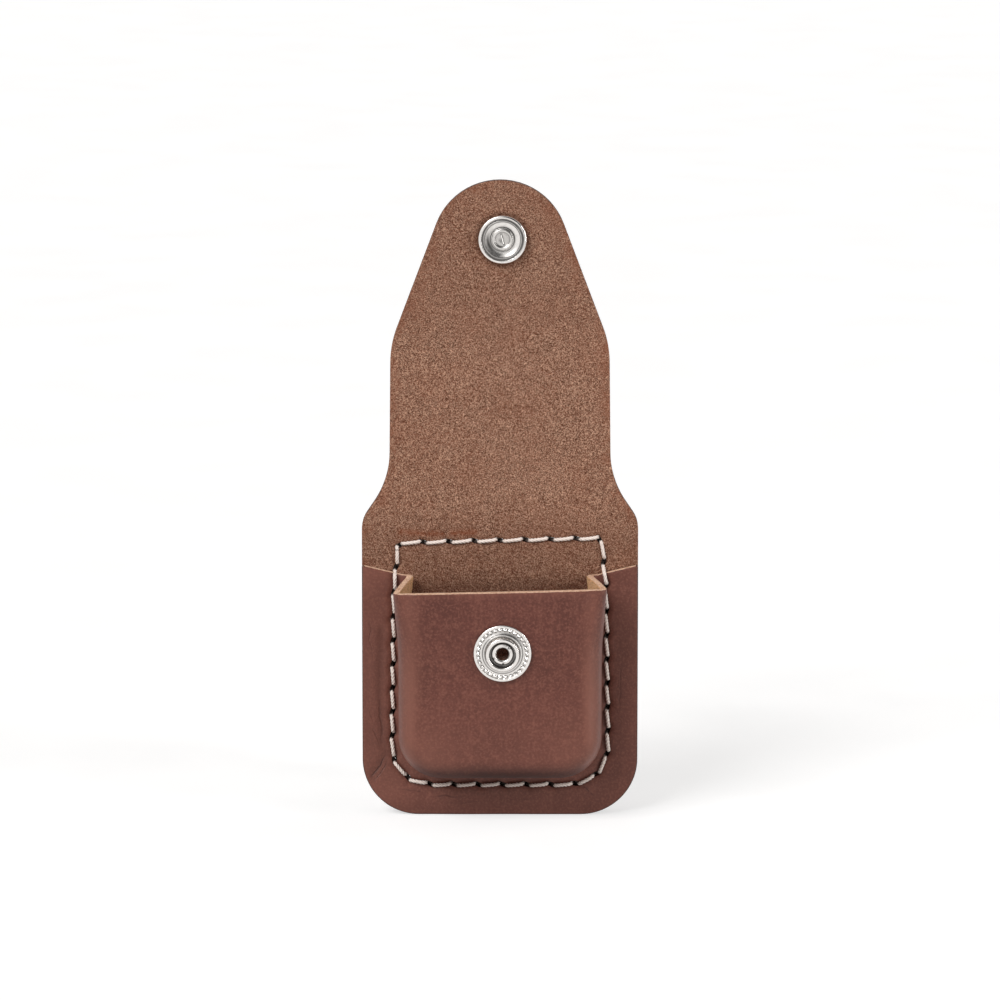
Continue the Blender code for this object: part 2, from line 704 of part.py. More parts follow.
def thread(name, places, first, finish, parent):
    """Makes one thread as a closed round tube."""
    curve = bpy.data.curves.new(name, "CURVE")
    curve.dimensions = "3D"
    curve.bevel_depth = THREAD_DIAMETER / 2
    curve.bevel_resolution = 1
    spline = curve.splines.new("POLY")
    points = thread_points(places, first)
    spline.points.add(len(points) - 1)
    for target, point in zip(spline.points, points):
        target.co = (*point, 1)
    spline.use_cyclic_u = True
    made = bpy.data.objects.new(name, curve)
    bpy.context.collection.objects.link(made)
    curve.materials.append(material(*finish))
    put(made, (0, 0, 0), parent)
    return made


# Press stud

def cap_profile():
    """Outlines the cap and its rolled post, from the hollow of the post to the dome."""
    under = -PANEL_THICKNESS - SEAT_GAP
    roll_low = METAL_FLOOR + METAL_GAP
    roll_top = roll_low + POST_ROLL_HEIGHT
    ease = POST_ROLL_HEIGHT / 3
    return [
        (0, under + POST_FLOOR),
        (POST_BORE_RADIUS, under + POST_FLOOR),
        (POST_BORE_RADIUS, roll_top - ease),
        (POST_RADIUS, roll_top),
        (POST_ROLL_RADIUS - ease, roll_top),
        (POST_ROLL_RADIUS, roll_top - ease),
        (POST_ROLL_RADIUS, roll_low),
        (POST_RADIUS, roll_low),
        (POST_RADIUS, under),
        (CAP_RADIUS - CAP_RIM, under),
        (CAP_RADIUS, under - CAP_RIM),
        (CAP_RADIUS - CAP_RIM / 2, under - 2 * CAP_RIM),
        (CAP_RADIUS * 0.8, under - CAP_DOME * 0.72),
        (CAP_RADIUS * 0.5, under - CAP_DOME * 0.92),
        (0, under - CAP_DOME),
    ]


def socket_profile():
    """Outlines the socket's rolled sheet with its mouth, groove and spring chamber."""
    ease = SHEET_METAL / 2
    groove_low = SOCKET_TOP - SOCKET_GROOVE
    return [
        (SNAP_HOLE_RADIUS, SEAT_GAP),
        (SOCKET_RADIUS - ease, SEAT_GAP),
        (SOCKET_RADIUS, SEAT_GAP + ease),
        (SOCKET_RADIUS, SOCKET_TOP - ease),
        (SOCKET_RADIUS - ease, SOCKET_TOP),
        (SOCKET_GROOVE_RADIUS + ease, SOCKET_TOP),
        (SOCKET_GROOVE_RADIUS, groove_low),
        (SOCKET_GROOVE_RADIUS - ease / 2, groove_low),
        (SOCKET_GROOVE_RADIUS - ease, SOCKET_TOP),
        (SOCKET_MOUTH_RADIUS + ease / 2, SOCKET_TOP),
        (SOCKET_MOUTH_RADIUS, SOCKET_TOP - ease / 2),
        (SOCKET_MOUTH_RADIUS, SOCKET_TOP - SOCKET_LIP),
        (SOCKET_CHAMBER_RADIUS, SOCKET_TOP - SOCKET_LIP - ease),
        (SOCKET_CHAMBER_RADIUS, METAL_FLOOR),
        (SNAP_HOLE_RADIUS, METAL_FLOOR),
    ]


def spring_profile():
    """Outlines the wire of the socket's spring ring."""
    middle = (METAL_FLOOR + SOCKET_TOP - SOCKET_LIP) / 2
    points = []
    for step in range(WIRE_STEPS):
        angle = 2 * math.pi * step / WIRE_STEPS
        points.append((SPRING_RADIUS + SPRING_WIRE / 2 * math.cos(angle),
                       middle + SPRING_WIRE / 2 * math.sin(angle)))
    return points


def stud_profile():
    """Outlines the stud: its rim, its step, its neck and its head."""
    ease = SHEET_METAL / 2
    head_low = STUD_TOP - STUD_HEAD_BAND - ease
    return [
        (SNAP_HOLE_RADIUS, SEAT_GAP),
        (STUD_RIM_RADIUS - ease, SEAT_GAP),
        (STUD_RIM_RADIUS, SEAT_GAP + ease),
        (STUD_RIM_RADIUS - ease / 2, STUD_RIM_TOP - ease),
        (STUD_BEAD_RADIUS, STUD_RIM_TOP - STUD_BEAD_HEIGHT / 2),
        (STUD_STEP_RADIUS, STUD_RIM_TOP - ease),
        (STUD_STEP_RADIUS, STUD_STEP_TOP),
        (STUD_NECK_RADIUS, STUD_STEP_TOP),
        (STUD_NECK_RADIUS, head_low - ease),
        (STUD_HEAD_RADIUS, head_low + ease / 2),
        (STUD_HEAD_RADIUS, STUD_TOP - ease),
        (STUD_HEAD_RADIUS - ease, STUD_TOP),
        (STUD_BORE_RADIUS, STUD_TOP),
        (STUD_BORE_RADIUS, METAL_FLOOR),
        (SNAP_HOLE_RADIUS, METAL_FLOOR),
    ]


def bead_rim(builder):
    """Raises every other spoke of the stud's rim into a bead."""
    spoke = math.pi / STUD_BEADS
    for vert in builder.verts:
        radius = math.hypot(vert.co.x, vert.co.y)
        on_crest = abs(radius - STUD_BEAD_RADIUS) < WELD_DISTANCE * 5
        if on_crest and round(math.atan2(vert.co.y, vert.co.x) / spoke) % 2 == 0:
            vert.co.z += STUD_BEAD_HEIGHT
    return builder


def eyelet_profile():
    """Outlines the eyelet: its flange in the pocket, its tube and its roll in the stud."""
    under = -POCKET_THICKNESS - SEAT_GAP
    roll_low = METAL_FLOOR + METAL_GAP
    roll_top = roll_low + EYELET_ROLL_HEIGHT
    ease = EYELET_ROLL_HEIGHT / 3
    return [
        (EYELET_BORE_RADIUS, roll_top - ease),
        (EYELET_RADIUS, roll_top),
        (EYELET_ROLL_RADIUS - ease, roll_top - ease / 2),
        (EYELET_ROLL_RADIUS, roll_low + ease),
        (EYELET_ROLL_RADIUS, roll_low),
        (EYELET_RADIUS, roll_low),
        (EYELET_RADIUS, under),
        (EYELET_FLANGE_RADIUS, under),
        (EYELET_FLANGE_RADIUS, under - EYELET_FLANGE / 2),
        (EYELET_FLANGE_RADIUS - EYELET_FLANGE / 2, under - EYELET_FLANGE),
        (EYELET_BORE_RADIUS, under - EYELET_FLANGE),
    ]


def press_stud(root, tongue_axis, pocket, tongue):
    """Makes the parts of the press stud and their holes in the leather."""
    facing_front = math.pi / 2
    facing_pocket = facing_front + POCKET_TILT
    socket_place = (SNAP_OFFSET, 0, SOCKET_HEIGHT_ON_FLAP)
    stud_place = stud_seat()
    reach = PANEL_THICKNESS + CUT_OVERRUN
    cut(tongue, cutter("flap_punch", rod(SNAP_HOLE_RADIUS, -reach, reach), tongue_axis,
                       socket_place, facing_front))
    cut(pocket, cutter("pocket_punch", rod(SNAP_HOLE_RADIUS, -reach, reach), root,
                       stud_place, facing_pocket))
    made = [
        piece("snap_cap", turned(cap_profile()), metal("cap_metal", NICKEL, 0.3),
              tongue_axis, socket_place, facing_front),
        piece("snap_socket", turned(socket_profile()), metal("socket_metal", NICKEL, 0.3),
              tongue_axis, socket_place, facing_front),
        piece("socket_spring", turned(spring_profile()), metal("spring_metal", STEEL, 0.25),
              tongue_axis, socket_place, facing_front),
        piece("snap_stud", bead_rim(turned(stud_profile(), 2 * STUD_BEADS)),
              metal("stud_metal", NICKEL, 0.25), root, stud_place, facing_pocket),
        piece("stud_eyelet", turned(eyelet_profile(), SMALL_TURN_STEPS),
              metal("eyelet_metal", NICKEL, 0.3), root, stud_place, facing_pocket),
    ]
    for thing in made:
        shade(thing)


# Belt clip

def strip(path, widths, thickness):
    """Builds a bent strip from its middle line (y, z) and its width at each point."""
    left, right = [], []
    for index, (spot, width) in enumerate(zip(path, widths)):
        before = path[max(index - 1, 0)]
        after = path[min(index + 1, len(path) - 1)]
        way = (after - before).normalized()
        side = Vector((-way.y, way.x)) * thickness / 2
        left.append((spot + side, width / 2))
        right.append((spot - side, width / 2))
    builder = bmesh.new()
    rings = []
    for (upper, half), (lower, _) in zip(left, right):
        rings.append([builder.verts.new((x, p.x, p.y))
                      for p, x in ((upper, -half), (upper, half), (lower, half), (lower, -half))])
    for low, high in zip(rings, rings[1:]):
        for index in range(4):
            builder.faces.new((low[index - 1], low[index], high[index], high[index - 1]))
    builder.faces.new(rings[0])
    builder.faces.new(list(reversed(rings[-1])))
    return builder


def end_widths(path, foot_index):
    """Gives the strip's widths, narrowed at its foot end for round corners."""
    widths = []
    foot = path[foot_index]
    for spot in path:
        away = min((spot - foot).length / CLIP_CORNER_LENGTH, 1)
        drawn_in = CLIP_CORNER_CUT * (1 - math.sqrt(1 - (1 - away) ** 2))
        widths.append(CLIP_WIDTH - 2 * drawn_in)
    return widths


def bend_arc(first_angle, last_angle):
    """Gives the points of the clip's bend between two angles, 0 toward the back."""
    points = []
    for step in range(BEND_STEPS + 1):
        angle = first_angle + (last_angle - first_angle) * step / BEND_STEPS
        points.append(Vector((CLIP_BEND_DEPTH + CLIP_BEND_RADIUS * math.cos(angle),
                              CLIP_BEND_HEIGHT + CLIP_BEND_RADIUS * math.sin(angle))))
    return points


def rivet_profile():
    """Outlines a rivet from its head in the belt's gap to its clinch on the burr."""
    head = CLIP_BASE_BACK + METAL_GAP
    recess_floor = PATCH_FRONT + RECESS_DEPTH
    burr_front = recess_floor - METAL_GAP - BURR_THICKNESS
    clinch_back = burr_front - METAL_GAP
    return [
        (0, clinch_back - RIVET_CLINCH),
        (RIVET_CLINCH_RADIUS * 0.8, clinch_back - RIVET_CLINCH),
        (RIVET_CLINCH_RADIUS, clinch_back),
        (RIVET_SHANK_RADIUS, clinch_back),
        (RIVET_SHANK_RADIUS, head),
        (RIVET_HEAD_RADIUS, head),
        (RIVET_HEAD_RADIUS * 0.96, head + RIVET_HEAD_HEIGHT * 0.4),
        (RIVET_HEAD_RADIUS * 0.65, head + RIVET_HEAD_HEIGHT * 0.85),
        (0, head + RIVET_HEAD_HEIGHT),
    ]


def burr_profile():
    """Outlines the washer under a rivet's clinch."""
    back = PATCH_FRONT + RECESS_DEPTH - METAL_GAP
    inner = RIVET_SHANK_RADIUS + RIVET_HOLE_ROOM
    return [(inner, back), (BURR_RADIUS, back), (BURR_RADIUS, back - BURR_THICKNESS),
            (inner, back - BURR_THICKNESS)]


def belt_clip(root, clip_axis, patch):
    """Makes the clip's two legs, its rivets and their holes."""
    facing_back = -math.pi / 2
    split = CLIP_SPLIT_GAP / 2 / CLIP_BEND_RADIUS
    base_middle = CLIP_BASE_FRONT + CLIP_STEEL / 2
    tongue_middle = CLIP_TONGUE_FRONT + CLIP_STEEL / 2
    corner_shares = (0.15, 0.4, 1)
    base_path = [Vector((base_middle, CLIP_BASE_FOOT))]
    base_path += [Vector((base_middle, CLIP_BASE_FOOT + CLIP_CORNER_LENGTH * share))
                  for share in corner_shares]
    base_path += bend_arc(math.pi, math.pi / 2 + split)
    tongue_path = bend_arc(math.pi / 2 - split, 0)
    lower_run = CLIP_TONGUE_STRAIGHT - CLIP_BELLY_HEIGHT
    for step in range(1, ARC_STEPS + 1):
        share = step / ARC_STEPS
        swell = (1 - math.cos(math.pi * share)) / 2
        tongue_path.append(Vector((tongue_middle - CLIP_BELLY * swell,
                                   CLIP_TONGUE_STRAIGHT - lower_run * share)))
    tongue_path.insert(BEND_STEPS + 1, Vector((tongue_middle, CLIP_TONGUE_STRAIGHT)))
    for step in range(1, ARC_STEPS + 1):
        share = step / ARC_STEPS
        tongue_path.append(Vector((
            tongue_middle - CLIP_BELLY + (CLIP_BELLY + CLIP_FLARE) * share ** 2,
            CLIP_BELLY_HEIGHT - (CLIP_BELLY_HEIGHT - CLIP_TONGUE_FOOT) * share)))
    base = piece("clip_base", strip(base_path, end_widths(base_path, 0), CLIP_STEEL),
                 metal("clip_base_metal", STEEL, 0.35), root)
    tongue = piece("clip_tongue", strip(tongue_path, end_widths(tongue_path, -1), CLIP_STEEL),
                   metal("clip_tongue_metal", STEEL, 0.35), clip_axis)
    hole = RIVET_SHANK_RADIUS + RIVET_HOLE_ROOM
    for which, height in RIVETS:
        spot = (0, 0, height)
        drill = cutter("rivet_drill_" + which, rod(hole, 0, CLIP_BASE_BACK + CUT_OVERRUN),
                       root, spot, facing_back)
        cut(base, drill)
        cut(patch, drill)
        cut(patch, cutter("recess_drill_" + which,
                          rod(BURR_RADIUS + RECESS_ROOM, 0, PATCH_FRONT + RECESS_DEPTH),
                          root, spot, facing_back))
        cut(tongue, cutter("access_drill_" + which,
                           rod(ACCESS_HOLE_RADIUS, CLIP_BASE_BACK + CUT_OVERRUN,
                               CLIP_TONGUE_FRONT + CLIP_STEEL + CUT_OVERRUN, TURN_STEPS),
                           root, spot, facing_back))
        shade(piece("clip_rivet_" + which, turned(rivet_profile(), SMALL_TURN_STEPS),
                    metal("rivet_metal_" + which, NICKEL, 0.3), root, spot, facing_back))
        shade(piece("rivet_burr_" + which, turned(burr_profile(), SMALL_TURN_STEPS),
                    metal("burr_metal_" + which, STEEL, 0.4), root, spot, facing_back))


def build():
    """Builds the pouch."""
    clear_scene()
    back_fold, front_fold = fold_heights()
    root = empty("pouch", (0, 0, 0))
    bridge_axis = empty("back_fold_axis", (0, -FOLD_OFFSET, back_fold), root)
    tongue_axis = empty("front_fold_axis", (0, -FOLD_OFFSET, front_fold), bridge_axis)
    clip_pivot = (0, CLIP_BEND_DEPTH, CLIP_BEND_HEIGHT + CLIP_BEND_RADIUS)
    clip_axis = empty("clip_flex_axis", clip_pivot, root)

    outline = panel_outline()
    spans = (
        ("back_panel", 0, back_fold - FOLD_GAP, LEATHER_FLESH, root, (0, 0, 0)),
        ("flap_bridge", back_fold + FOLD_GAP, front_fold - FOLD_GAP, LEATHER_BRIDGE,
         bridge_axis, (0, 0, 0)),
        ("flap_tongue", front_fold + FOLD_GAP, FLAP_TOP, LEATHER_TONGUE,
         tongue_axis, (0, 0, 0)),
    )
    panels = {}
    for name, low, high, finish, parent, place in spans:
        part = clipped(outline, low, high)
        panels[name] = piece(name, plate(part, 0, PANEL_THICKNESS), finish, parent, place)
        soften(panels[name], LEATHER_EDGE_ROUND)
    patch = piece("backing_patch", plate(patch_outline(), PATCH_FRONT, PATCH_THICKNESS),
                  LEATHER_PATCH, root)
    soften(patch, LEATHER_EDGE_ROUND, 1)
    pocket = pocket_piece(root)

    places = slit_places()
    awl = slit_cutter(places, root)
    for layer in (pocket, panels["back_panel"], patch):
        cut(layer, awl)
    thread("seam_thread_1", places, 0, THREAD_ONE, root)
    thread("seam_thread_2", places, 1, THREAD_TWO, root)

    press_stud(root, tongue_axis, pocket, panels["flap_tongue"])
    belt_clip(root, clip_axis, patch)
    root.location = -BELT_SEAT

    for label, place in (("back fold", bridge_axis["pouch_place"]),
                         ("front fold", tongue_axis["pouch_place"]),
                         ("clip flex", clip_pivot),
                         ("stud seat", stud_seat())):
        world = Vector(place) - BELT_SEAT
        print(label, "at", " ".join(f"{value / MM:.4f}" for value in world), "mm")
    print("stitches", len(places), "snap stack", round(SNAP_STACK / MM, 3), "mm")
    print("belt seat above the bottom edge", round(BELT_SEAT.z / MM, 3), "mm")


build()
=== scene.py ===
"""Looks of a leather belt pouch for a pocket lighter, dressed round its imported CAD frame.

Every length is in metres. Shapes are laid out in the pouch's own place, which starts at the
bottom edge and the front side of the back panel, and are then moved into the frame: X runs to
the right, the front faces -Y and +Z is up.
"""

import json
import logging
import math
from collections.abc import Callable, Iterator, Sequence
from contextlib import contextmanager
from dataclasses import dataclass, field
from enum import Enum, IntEnum
from functools import reduce

import bpy
import numpy as np
from mathutils import Matrix, Vector


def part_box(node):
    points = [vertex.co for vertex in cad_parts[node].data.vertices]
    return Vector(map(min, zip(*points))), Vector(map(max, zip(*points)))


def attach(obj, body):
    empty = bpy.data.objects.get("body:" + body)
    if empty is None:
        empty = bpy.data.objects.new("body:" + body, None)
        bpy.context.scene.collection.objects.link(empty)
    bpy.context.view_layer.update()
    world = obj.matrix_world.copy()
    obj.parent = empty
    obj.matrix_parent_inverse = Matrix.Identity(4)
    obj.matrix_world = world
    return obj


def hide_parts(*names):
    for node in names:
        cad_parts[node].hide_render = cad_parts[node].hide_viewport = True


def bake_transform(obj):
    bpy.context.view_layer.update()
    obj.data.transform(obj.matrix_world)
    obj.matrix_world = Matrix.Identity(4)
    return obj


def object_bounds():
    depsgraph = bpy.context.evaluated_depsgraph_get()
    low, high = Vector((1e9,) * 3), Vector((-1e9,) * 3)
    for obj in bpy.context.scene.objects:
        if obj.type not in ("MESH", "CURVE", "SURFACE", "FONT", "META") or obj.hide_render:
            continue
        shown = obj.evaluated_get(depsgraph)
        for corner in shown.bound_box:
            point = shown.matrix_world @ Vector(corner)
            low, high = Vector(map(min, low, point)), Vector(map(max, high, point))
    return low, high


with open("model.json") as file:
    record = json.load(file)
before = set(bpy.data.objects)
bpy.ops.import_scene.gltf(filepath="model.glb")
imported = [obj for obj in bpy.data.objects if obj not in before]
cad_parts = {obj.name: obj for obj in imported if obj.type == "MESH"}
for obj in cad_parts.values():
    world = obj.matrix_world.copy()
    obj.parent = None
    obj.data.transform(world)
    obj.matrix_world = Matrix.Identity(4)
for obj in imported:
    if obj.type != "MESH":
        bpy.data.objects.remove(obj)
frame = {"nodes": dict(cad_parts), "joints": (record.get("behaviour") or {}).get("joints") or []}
CAD_LOW, CAD_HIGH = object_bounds()

LOG = logging.getLogger("pouch")
MM = 0.001
WELD = 0.001 * MM
SHARP = math.radians(50)

Array = np.ndarray
Piece = bpy.types.Object
Material = bpy.types.Material
Colour = tuple[float, float, float, float]
Pair = tuple[float, float]
Triple = tuple[float, float, float]
Field = Callable[[Array, Array], Array]
Choice = Callable[[Array], Array]

WHITE: Colour = (1, 1, 1, 1)


# Numbers and curves


def srgb(red: int, green: int, blue: int) -> Colour:
    """Turns a screen colour into the linear colour that shaders take.

    Args:
        red: The red channel, of 0 to 255.
        green: The green channel.
        blue: The blue channel.

    Returns:
        The colour, with full alpha.
    """
    shares = [channel / 255 for channel in (red, green, blue)]
    linear = [s / 12.92 if s < 0.04 else ((s + 0.055) / 1.055) ** 2.4 for s in shares]
    return (*linear, 1.0)


def ease(values: Array, low: float, high: float) -> Array:
    """Rises smoothly from 0 at low to 1 at high."""
    share = np.clip((values - low) / (high - low), 0, 1)
    return share * share * (3 - 2 * share)


def fade(values: Array, low: float, high: float) -> Array:
    """Falls smoothly from 1 at low to 0 at high."""
    return ease(-values, -high, -low)


def mound(distance: Array, width: float) -> Array:
    """Gives 1 at no distance and falls off in a bell of this width."""
    return np.exp(-((distance / width) ** 2))


def rounded(corners: Sequence[Triple], steps: int, closed: bool = True) -> Array:
    """Gives the points of an outline whose corners are arcs.

    Args:
        corners: The corners as (x, z, radius); a radius of 0 stays sharp.
        steps: The steps of each arc.
        closed: Whether the outline closes on itself.

    Returns:
        The points, one row each.
    """
    points: list[Vector] = []
    last = len(corners) - 1
    for index, (x, z, radius) in enumerate(corners):
        corner = Vector((x, z))
        if radius == 0 or (not closed and index in (0, last)):
            points.append(corner)
            continue
        before = (Vector(corners[index - 1][:2]) - corner).normalized()
        after = (Vector(corners[(index + 1) % len(corners)][:2]) - corner).normalized()
        half = before.angle(after) / 2
        centre = corner + (before + after).normalized() * radius / math.sin(half)
        arm = corner + before * radius / math.tan(half) - centre
        side = math.copysign(1, after.x * before.y - after.y * before.x)
        for step in range(steps + 1):
            turn = Matrix.Rotation(side * (math.pi - 2 * half) * step / steps, 2)
            points.append(centre + turn @ arm)
    return np.array([tuple(point) for point in points])


def along(curve: Array) -> Array:
    """Gives the length along a curve at each of its points."""
    return np.concatenate(([0], np.cumsum(np.linalg.norm(np.diff(curve, axis=0), axis=1))))


def resample(curve: Array, count: int) -> Array:
    """Spreads points evenly along a curve, ends included.

    Args:
        curve: The points of the curve.
        count: How many points to spread.

    Returns:
        The new points.
    """
    lengths = along(curve)
    wanted = np.linspace(0, lengths[-1], count)
    return np.stack([np.interp(wanted, lengths, axis) for axis in curve.T], axis=1)


def patch_between(bottom: Array, top: Array, left: Array, right: Array) -> Array:
    """Fills four border curves with a smooth grid of points.

    Args:
        bottom: The lower border, from left to right.
        top: The upper border, from left to right.
        left: The left border, upward.
        right: The right border, upward.

    Returns:
        The points as rows from the bottom up.
    """
    across = np.linspace(0, 1, len(bottom))[None, :, None]
    upward = np.linspace(0, 1, len(left))[:, None, None]
    sides = (1 - across) * left[:, None] + across * right[:, None]
    ends = (1 - upward) * bottom[None] + upward * top[None]
    corners = ((1 - upward) * ((1 - across) * bottom[0] + across * bottom[-1])
               + upward * ((1 - across) * top[0] + across * top[-1]))
    return sides + ends - corners


def distance_to(x: Array, z: Array, *paths: Array) -> Array:
    """Measures how far points lie from the nearest of some paths of straight runs.

    Args:
        x: The points' places in X.
        z: Their heights.
        *paths: The paths, each a row of corners.

    Returns:
        The distance of each point.
    """
    spots = np.stack([x, z], axis=1)
    nearest = np.full(len(spots), np.inf)
    for path in paths:
        for start, end in zip(path, path[1:]):
            run = end - start
            share = np.clip((spots - start) @ run / max(run @ run, WELD ** 2), 0, 1)
            gap = np.linalg.norm(spots - start - share[:, None] * run, axis=1)
            nearest = np.minimum(nearest, gap)
    return nearest


@dataclass(frozen=True)
class Ripple:
    """A soft uneven swell, with its height, its wave length and its seed."""

    height: float
    length: float
    seed: float

    def rise(self, x: Array, z: Array) -> Array:
        """Gives how far the swell stands out at each place, or in where it is negative.

        Args:
            x: The places in X.
            z: Their heights.

        Returns:
            The rise at each place.
        """
        turn = 2 * math.pi / self.length
        swell = (np.sin(turn * (0.9 * x + 0.43 * z) + 1.7 * self.seed)
                 + np.sin(turn * (0.37 * z * 1.3 - 0.71 * x) + 2.9 * self.seed)
                 + np.sin(turn * (1.21 * z + 0.18 * x) + 4.1 * self.seed)) / 3
        return self.height * swell


# Modelling


class Picking(Enum):
    """What the edit mode's operators select."""

    VERTS = (True, False, False)
    EDGES = (False, True, False)
    FACES = (False, False, True)


def make_active(thing: Piece) -> None:
    """Selects one object and nothing else.

    Args:
        thing: The object.
    """
    bpy.ops.object.select_all(action="DESELECT")
    thing.select_set(True)
    bpy.context.view_layer.objects.active = thing


def add(operator: Callable[..., set[str]], name: str, **settings: object) -> Piece:
    """Adds an object by its operator, with nothing else selected.

    Args:
        operator: The operator of a primitive, a curve or a lamp.
        name: The object's name.
        **settings: The operator's settings.

    Returns:
        The object.
    """
    bpy.ops.object.select_all(action="DESELECT")
    operator(**settings)
    thing = bpy.context.object
    thing.name = thing.data.name = name
    return thing


@contextmanager
def editing(thing: Piece, picking: Picking) -> Iterator[None]:
    """Opens an object's mesh for editing, with what is flagged in it selected.

    Args:
        thing: The object.
        picking: What the operators select.
    """
    make_active(thing)
    bpy.context.tool_settings.mesh_select_mode = picking.value
    bpy.ops.object.mode_set(mode="EDIT")
    yield
    bpy.ops.object.mode_set(mode="OBJECT")


def face_outward() -> None:
    """Turns all faces of the closed mesh in editing outwards."""
    bpy.ops.mesh.select_all(action="SELECT")
    bpy.ops.mesh.normals_make_consistent(inside=False)


def read(items: Sequence, name: str, width: int = 1, kind: type = float) -> Array:
    """Reads a property of a mesh's vertices, edges or faces.

    Args:
        items: The vertices, edges or faces.
        name: The property.
        width: How many numbers it has.
        kind: The kind of number.

    Returns:
        A row for each of them, or a number for each where the width is 1.
    """
    flat = np.empty(len(items) * width, kind)
    items.foreach_get(name, flat)
    return flat.reshape(-1, width) if width > 1 else flat


def places_of(thing: Piece) -> Array:
    """Reads the places of a mesh's vertices."""
    return read(thing.data.vertices, "co", 3)


def set_places(thing: Piece, places: Array) -> None:
    """Moves a mesh's vertices to places."""
    thing.data.vertices.foreach_set("co", places.reshape(-1))
    thing.data.update()


def flag_edges(thing: Piece, chosen: Array) -> None:
    """Flags the chosen edges and clears every other flag.

    Args:
        thing: The object.
        chosen: Whether each edge is chosen.
    """
    mesh = thing.data
    mesh.vertices.foreach_set("select", np.zeros(len(mesh.vertices), bool))
    mesh.polygons.foreach_set("select", np.zeros(len(mesh.polygons), bool))
    mesh.edges.foreach_set("select", chosen)


def apply_modifier(thing: Piece, kind: str, **settings: object) -> None:
    """Adds a modifier and applies it.

    Args:
        thing: The object.
        kind: The modifier's type.
        **settings: Its settings.
    """
    make_active(thing)
    modifier = thing.modifiers.new(kind.lower(), kind)
    for name, value in settings.items():
        setattr(modifier, name, value)
    bpy.ops.object.modifier_apply(modifier=modifier.name)


def add_grid(name: str, places: Array) -> Piece:
    """Adds a grid and lays its vertices out.

    Args:
        name: The object's name.
        places: The places of the vertices, as rows of points.

    Returns:
        The grid.
    """
    rows, columns = places.shape[:2]
    thing = add(bpy.ops.mesh.primitive_grid_add, name, x_subdivisions=columns - 1,
                y_subdivisions=rows - 1, size=1)
    flat = places_of(thing)
    column = np.rint((flat[:, 0] + 0.5) * (columns - 1)).astype(int)
    row = np.rint((flat[:, 1] + 0.5) * (rows - 1)).astype(int)
    set_places(thing, places[row, column])
    return thing


def join(things: Sequence[Piece], weld: bool = True) -> Piece:
    """Joins objects into the first.

    Args:
        things: The objects.
        weld: Whether vertices that meet are merged.

    Returns:
        The first object.
    """
    make_active(things[0])
    for thing in things:
        thing.select_set(True)
    bpy.ops.object.join()
    if weld:
        with editing(things[0], Picking.VERTS):
            bpy.ops.mesh.select_all(action="SELECT")
            bpy.ops.mesh.remove_doubles(threshold=WELD)
    return things[0]


def round_sharp_edges(thing: Piece, width: float, segments: int,
                      wanted: Choice | None = None) -> None:
    """Bevels the sharp edges of a mesh.

    Args:
        thing: The object.
        width: The width of the rounding.
        segments: Its segments.
        wanted: Says from the middles of the edges which of them to round; all if left out.
    """
    flag_edges(thing, np.zeros(len(thing.data.edges), bool))
    with editing(thing, Picking.EDGES):
        bpy.ops.mesh.edges_select_sharp(sharpness=SHARP)
    edges = thing.data.edges
    chosen = read(edges, "select", kind=bool)
    if wanted is not None:
        ends = read(edges, "vertices", 2, int)
        chosen &= wanted(places_of(thing)[ends].mean(axis=1))
    flag_edges(thing, chosen)
    with editing(thing, Picking.EDGES):
        bpy.ops.mesh.bevel(offset=width, offset_type="OFFSET", segments=segments,
                           affect="EDGES", clamp_overlap=True)


def shade(thing: Piece, angle: float = math.radians(40)) -> None:
    """Shades a piece smooth between its sharp edges."""
    make_active(thing)
    bpy.ops.object.shade_smooth_by_angle(angle=angle)


def turn_into_place(thing: Piece, place: Vector, tilt: float) -> None:
    """Turns a piece about X, moves it to its place, and leaves the place in its mesh.

    Args:
        thing: The piece.
        place: Its place, in the pouch's own layout.
        tilt: How far it is turned.
    """
    make_active(thing)
    thing.rotation_euler = (tilt, 0, 0)
    thing.location = place
    bpy.ops.object.transform_apply(location=True, rotation=True, scale=True)


def carve(thing: Piece, *tools: Piece) -> None:
    """Cuts a piece by tools, whose faces give the walls of the cuts their material slots.

    Args:
        thing: The piece.
        *tools: The tools.
    """
    for tool in tools:
        apply_modifier(thing, "BOOLEAN", operation="DIFFERENCE", solver="EXACT", object=tool,
                       material_mode="INDEX")


def add_rod(name: str, radius: float, ends: Pair, place: Vector, tilt: float,
            sides: int = 48) -> Piece:
    """Adds a round rod.

    Args:
        name: The object's name.
        radius: The rod's radius.
        ends: Where it starts and ends along its axis, seen from its place.
        place: Its place, in the pouch's own layout.
        tilt: How far its axis is turned from +Z about X.
        sides: How many sides it has.

    Returns:
        The rod.
    """
    low, high = ends
    thing = add(bpy.ops.mesh.primitive_cylinder_add, name, vertices=sides, radius=radius,
                depth=high - low, location=(0, 0, (low + high) / 2))
    bpy.ops.object.transform_apply(location=True, rotation=False, scale=False)
    turn_into_place(thing, place, tilt)
    return thing


def remove(*things: Piece) -> None:
    """Deletes tools that have done their work."""
    for thing in things:
        bpy.data.objects.remove(thing, do_unlink=True)


def set_slots(thing: Piece, slots: Array | int) -> None:
    """Gives each face of a mesh its material slot.

    Args:
        thing: The object.
        slots: The slot of each face, or one for all of them.
    """
    thing.data.polygons.foreach_set(
        "material_index", np.full(len(thing.data.polygons), slots, np.int32))
    thing.data.update()


def write_fields(thing: Piece, **fields: Array) -> None:
    """Stores numbers for each vertex, which materials read by their names.

    Args:
        thing: The object.
        **fields: The numbers, by name.
    """
    for name, values in fields.items():
        attribute = thing.data.attributes.new(name, "FLOAT", "POINT")
        attribute.data.foreach_set("value", values.astype(np.float32))


# Shader maths


